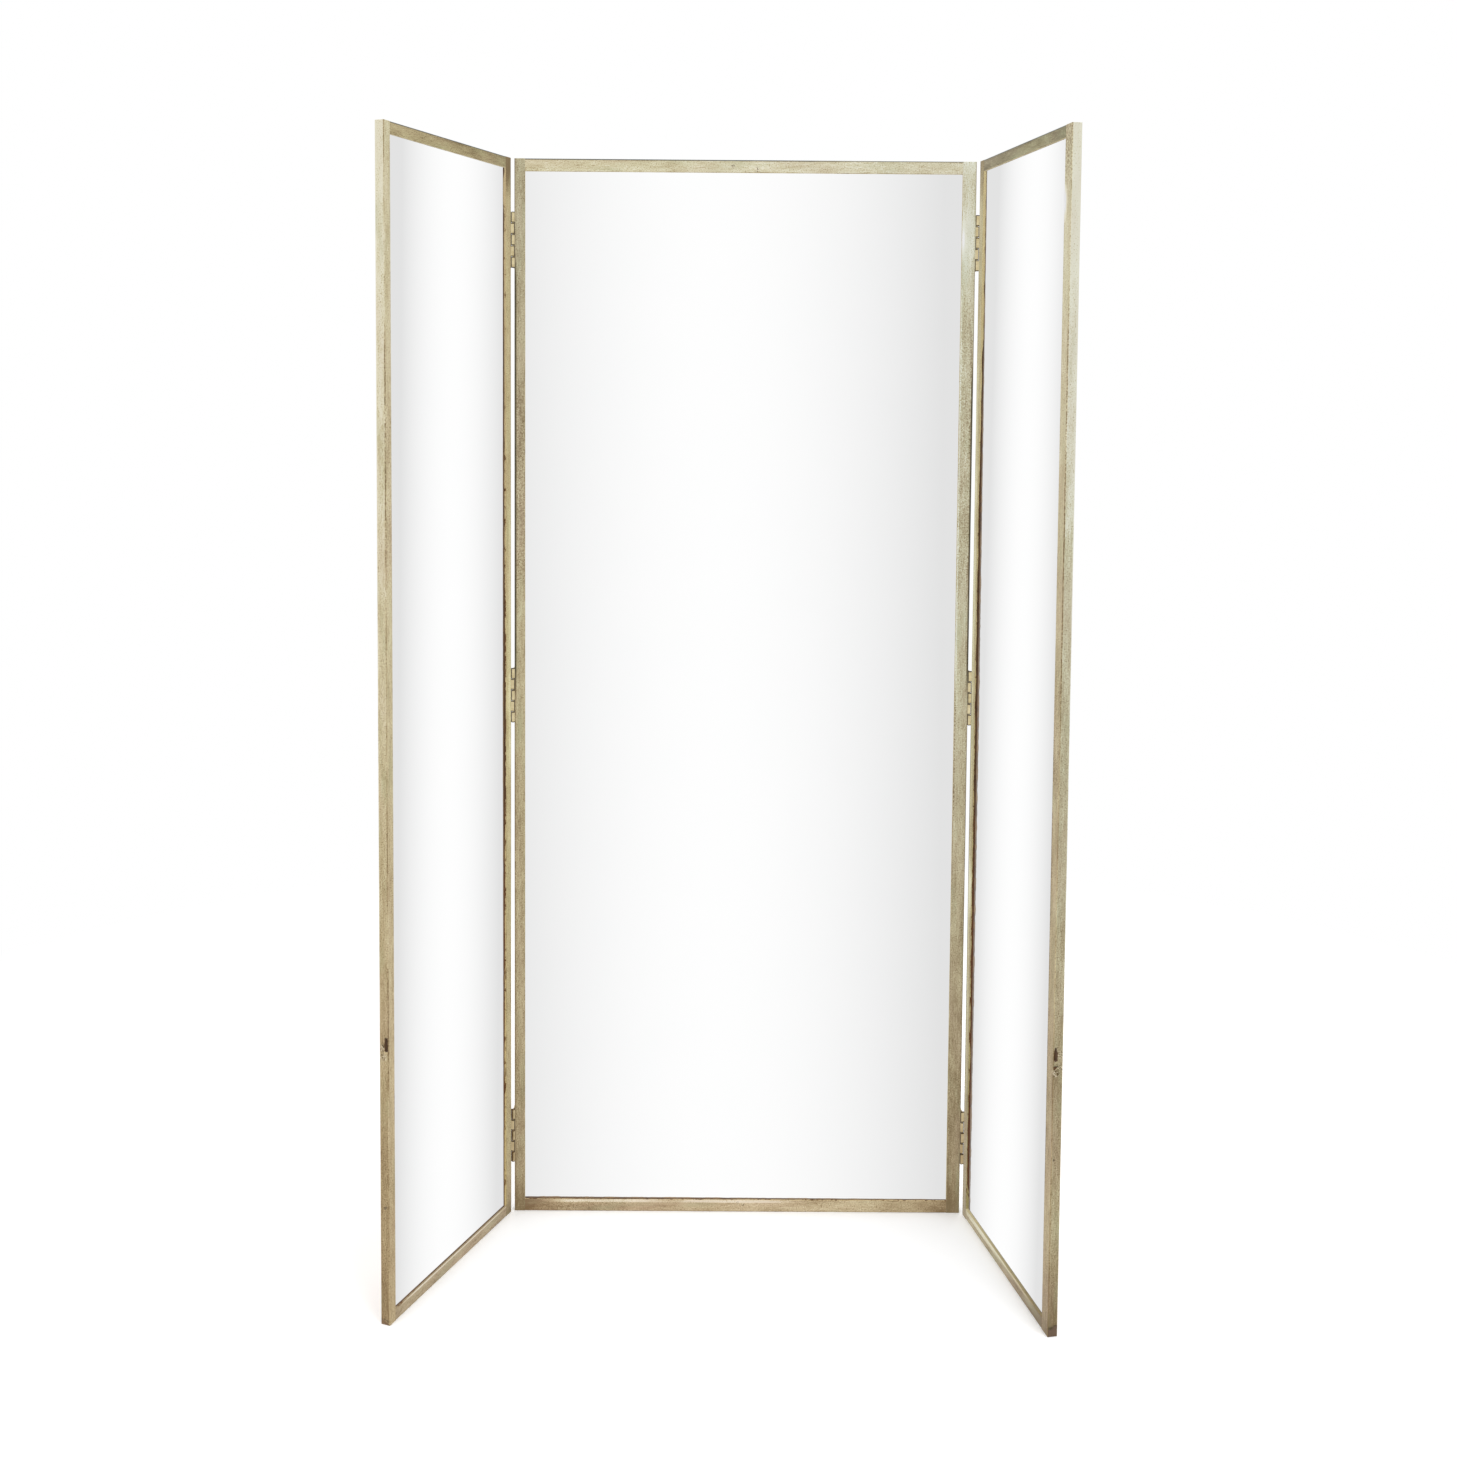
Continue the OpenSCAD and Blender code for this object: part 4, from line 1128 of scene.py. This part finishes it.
tack_metal = small_metal("brass_tacks", srgb(198, 176, 120), srgb(120, 96, 56), 0.42)
screw_metal = small_metal("hinge_screws", srgb(206, 184, 130), srgb(130, 104, 62), 0.38)
sprig_metal = small_metal("steel_sprigs", srgb(150, 148, 144), srgb(92, 78, 66), 0.46)
paper = backing_paper("backing_paper")
for panel in panels:
    tarnish_and_shade = [(bars[node], reach, share) for node, reach, share in TARNISH if bars[node].panel is panel]
    paint_node(panel.name + "_mirror_glass", mirror_glass(panel.name + "_silver", panel, tarnish_and_shade))
    paint_node(panel.name + "_backing_sheet", paper)
    paint_node(panel.name + "_back_board", plywood(panel.name + "_plywood", panel))
    paint_node(panel.name + "_back_sprigs", sprig_metal)
    paint_node(panel.name + "_cladding_tacks", tack_metal)
    paint_node(panel.name + "_hinge_screws", screw_metal)

# The leaf on the right of each pin has its first, third and fifth knuckle, the one on its left the others.
for side, joint in zip(("left", "right"), frame["joints"]):
    for node in frame["nodes"]:
        if node.startswith(side) and "_hinge_" in node and node.endswith(("_leaf", "_pin")):
            on_right = node.endswith("wing_leaf") == (side == "right")
            own = () if node.endswith("_pin") else (0, 2, 4) if on_right else (1, 3)
            # On the left bottom hinge's centre leaf, the painted shade reaches half across the knuckles and
            # is browner.
            wide_shade = node == "left_bottom_hinge_centre_leaf"
            paint_node(node, hinge_brass(node, joint["pos_m"], own, -1.0 if on_right else 1.0, wide_shade))


# ---- Camera, floor and light ----


def add_camera():
    """The photograph's camera, as fitted."""
    data = bpy.data.cameras.new("camera")
    data.sensor_width = SENSOR_MM
    data.lens = FOCAL_PX * SENSOR_MM / PHOTO_W
    data.shift_x = (PHOTO_W / 2 - PRINCIPAL_PX[0]) / PHOTO_W
    data.shift_y = (PRINCIPAL_PX[1] - PHOTO_W / 2) / PHOTO_W
    made = bpy.data.objects.new("camera", data)
    ahead = Vector(
        (
            math.sin(CAMERA_YAW) * math.cos(CAMERA_PITCH),
            math.cos(CAMERA_YAW) * math.cos(CAMERA_PITCH),
            math.sin(CAMERA_PITCH),
        )
    )
    level = Vector((math.cos(CAMERA_YAW), -math.sin(CAMERA_YAW), 0))
    upright = level.cross(ahead)
    right = math.cos(CAMERA_ROLL) * level + math.sin(CAMERA_ROLL) * upright
    up = math.cos(CAMERA_ROLL) * upright - math.sin(CAMERA_ROLL) * level
    turn = Matrix((right, up, -ahead)).transposed()
    made.matrix_world = Matrix.Translation(CAMERA_AT) @ turn.to_4x4()
    bpy.context.scene.collection.objects.link(made)
    bpy.context.scene.camera = made


FLOOR_HALF = 9.0
FLOOR_Z = -0.0004
FLOOR_GLOW = 0.16
# The floor's glow near the object goes over into plain white between these two distances.
FLOOR_FADE = (0.9, 2.2)


def add_floor():
    """A plain pale floor, white to the camera but for the shadow, and clear in reflections."""
    mesh = bmesh.new()
    bmesh.ops.create_grid(mesh, x_segments=1, y_segments=1, size=FLOOR_HALF)
    floor = finish_mesh(mesh, "floor")
    floor.location.z = FLOOR_Z
    p = Paint("pale_floor")
    from_camera, reflected = p.rays()
    shown = p.mix(from_camera, (0.80, 0.80, 0.80, 1), (0.98, 0.98, 0.98, 1))
    lit = p.node("BsdfDiffuse", {"Color": shown})
    glow = p.node("Emission", {"Strength": p.times(from_camera, FLOOR_GLOW)})
    near = p.node("AddShader", {0: lit, 1: glow})
    white = p.node("Emission", {"Strength": 1.0})
    away = p.fit(p.node("VectorMath", {0: p.place()}, out="Value", operation="LENGTH"), *FLOOR_FADE)
    seen = p.node("MixShader", {0: p.times(away, from_camera), 1: near, 2: white})
    clear = p.node("BsdfTransparent")
    floor.data.materials.append(p.finish(p.node("MixShader", {0: reflected, 1: seen, 2: clear})))


# Soft bright panels of the studio, as the mirrors see them: azimuth from -Y towards +X, lean and half width,
# in degrees.
STUDIO_PANELS = ((0.2, -0.55, 7.9), (128.1, 0.57, 1.75), (-148.0, 0.73, 1.23))
STUDIO_PEAK = 1.01
EVEN_LIGHT = 0.62
# The studio gets lighter upwards and darker downwards, between these slopes.
STUDIO_UP, LIGHTER_UP = (0.25, 1.3), 0.35
STUDIO_DOWN, DARKER_DOWN = (-0.6, -1.6), 0.30

LAMP_SIZE = 3.0
# The lamps: place and watts.
LAMPS = {
    "key": ((2.2, -3.0, 3.6), 110),
    "fill": ((-2.6, -2.4, 3.2), 60),
    "back": ((0.6, 3.2, 3.0), 70),
}


def add_world():
    """White to the camera, an even light on the object, and soft bright panels in reflections."""
    p = Paint("studio", "World")
    from_camera, reflected = p.rays()
    towards = p.node("TexCoord", out="Generated")
    x, y, z = (p.axis(towards, name) for name in "XYZ")
    azimuth = p.math("ARCTAN2", x, p.times(y, -1.0))
    level = p.math("SQRT", p.total(p.times(x, x), p.times(y, y)))
    rise = p.math("DIVIDE", z, p.math("MAXIMUM", level, 0.01))
    bright = 0.0
    for middle, lean, half in STUDIO_PANELS:
        leant = p.total(math.radians(middle), p.times(rise, math.radians(lean)))
        aside = p.minus(azimuth, leant)
        off = p.math("DIVIDE", aside, math.radians(half))
        lift = p.minus(1.0, p.times(off, off))
        bright = p.math("MAXIMUM", lift, bright)
    seen = p.total(
        p.times(bright, STUDIO_PEAK - STUDIO_GREY),
        p.fit(rise, *STUDIO_UP, STUDIO_GREY, STUDIO_GREY + LIGHTER_UP),
        p.fit(rise, *STUDIO_DOWN, 0.0, -DARKER_DOWN),
    )
    even = p.node("Background", {"Color": (1, 1, 1, 1), "Strength": EVEN_LIGHT})
    white = p.node("Background", {"Color": (1, 1, 1, 1), "Strength": 1.0})
    mirrored = p.node("Background", {"Color": (1, 1, 1, 1), "Strength": seen})
    light = p.node("MixShader", {0: reflected, 1: even, 2: mirrored})
    bpy.context.scene.world = p.finish(p.node("MixShader", {0: from_camera, 1: light, 2: white}))


def add_lamp(name, at, watts):
    """A square soft lamp that looks at the middle of the object."""
    data = bpy.data.lights.new(name, "AREA")
    data.shape, data.size, data.energy = "SQUARE", LAMP_SIZE, watts
    made = bpy.data.objects.new(name, data)
    aim = Vector((0, 0, cad_high.z * 0.5))
    made.location = at
    made.rotation_euler = (aim - Vector(at)).to_track_quat("-Z", "Y").to_euler()
    made.visible_glossy = False
    bpy.context.scene.collection.objects.link(made)


add_camera()
add_floor()
add_world()
for name, (at, watts) in LAMPS.items():
    add_lamp(name, at, watts)

# The photograph's mirrors show only its plain studio, so they don't mirror each other's frames here.
for made in bpy.context.scene.objects:
    if made.type == "MESH" and made.name != "floor":
        made.visible_glossy = False

bpy.context.scene.view_settings.view_transform = "Standard"
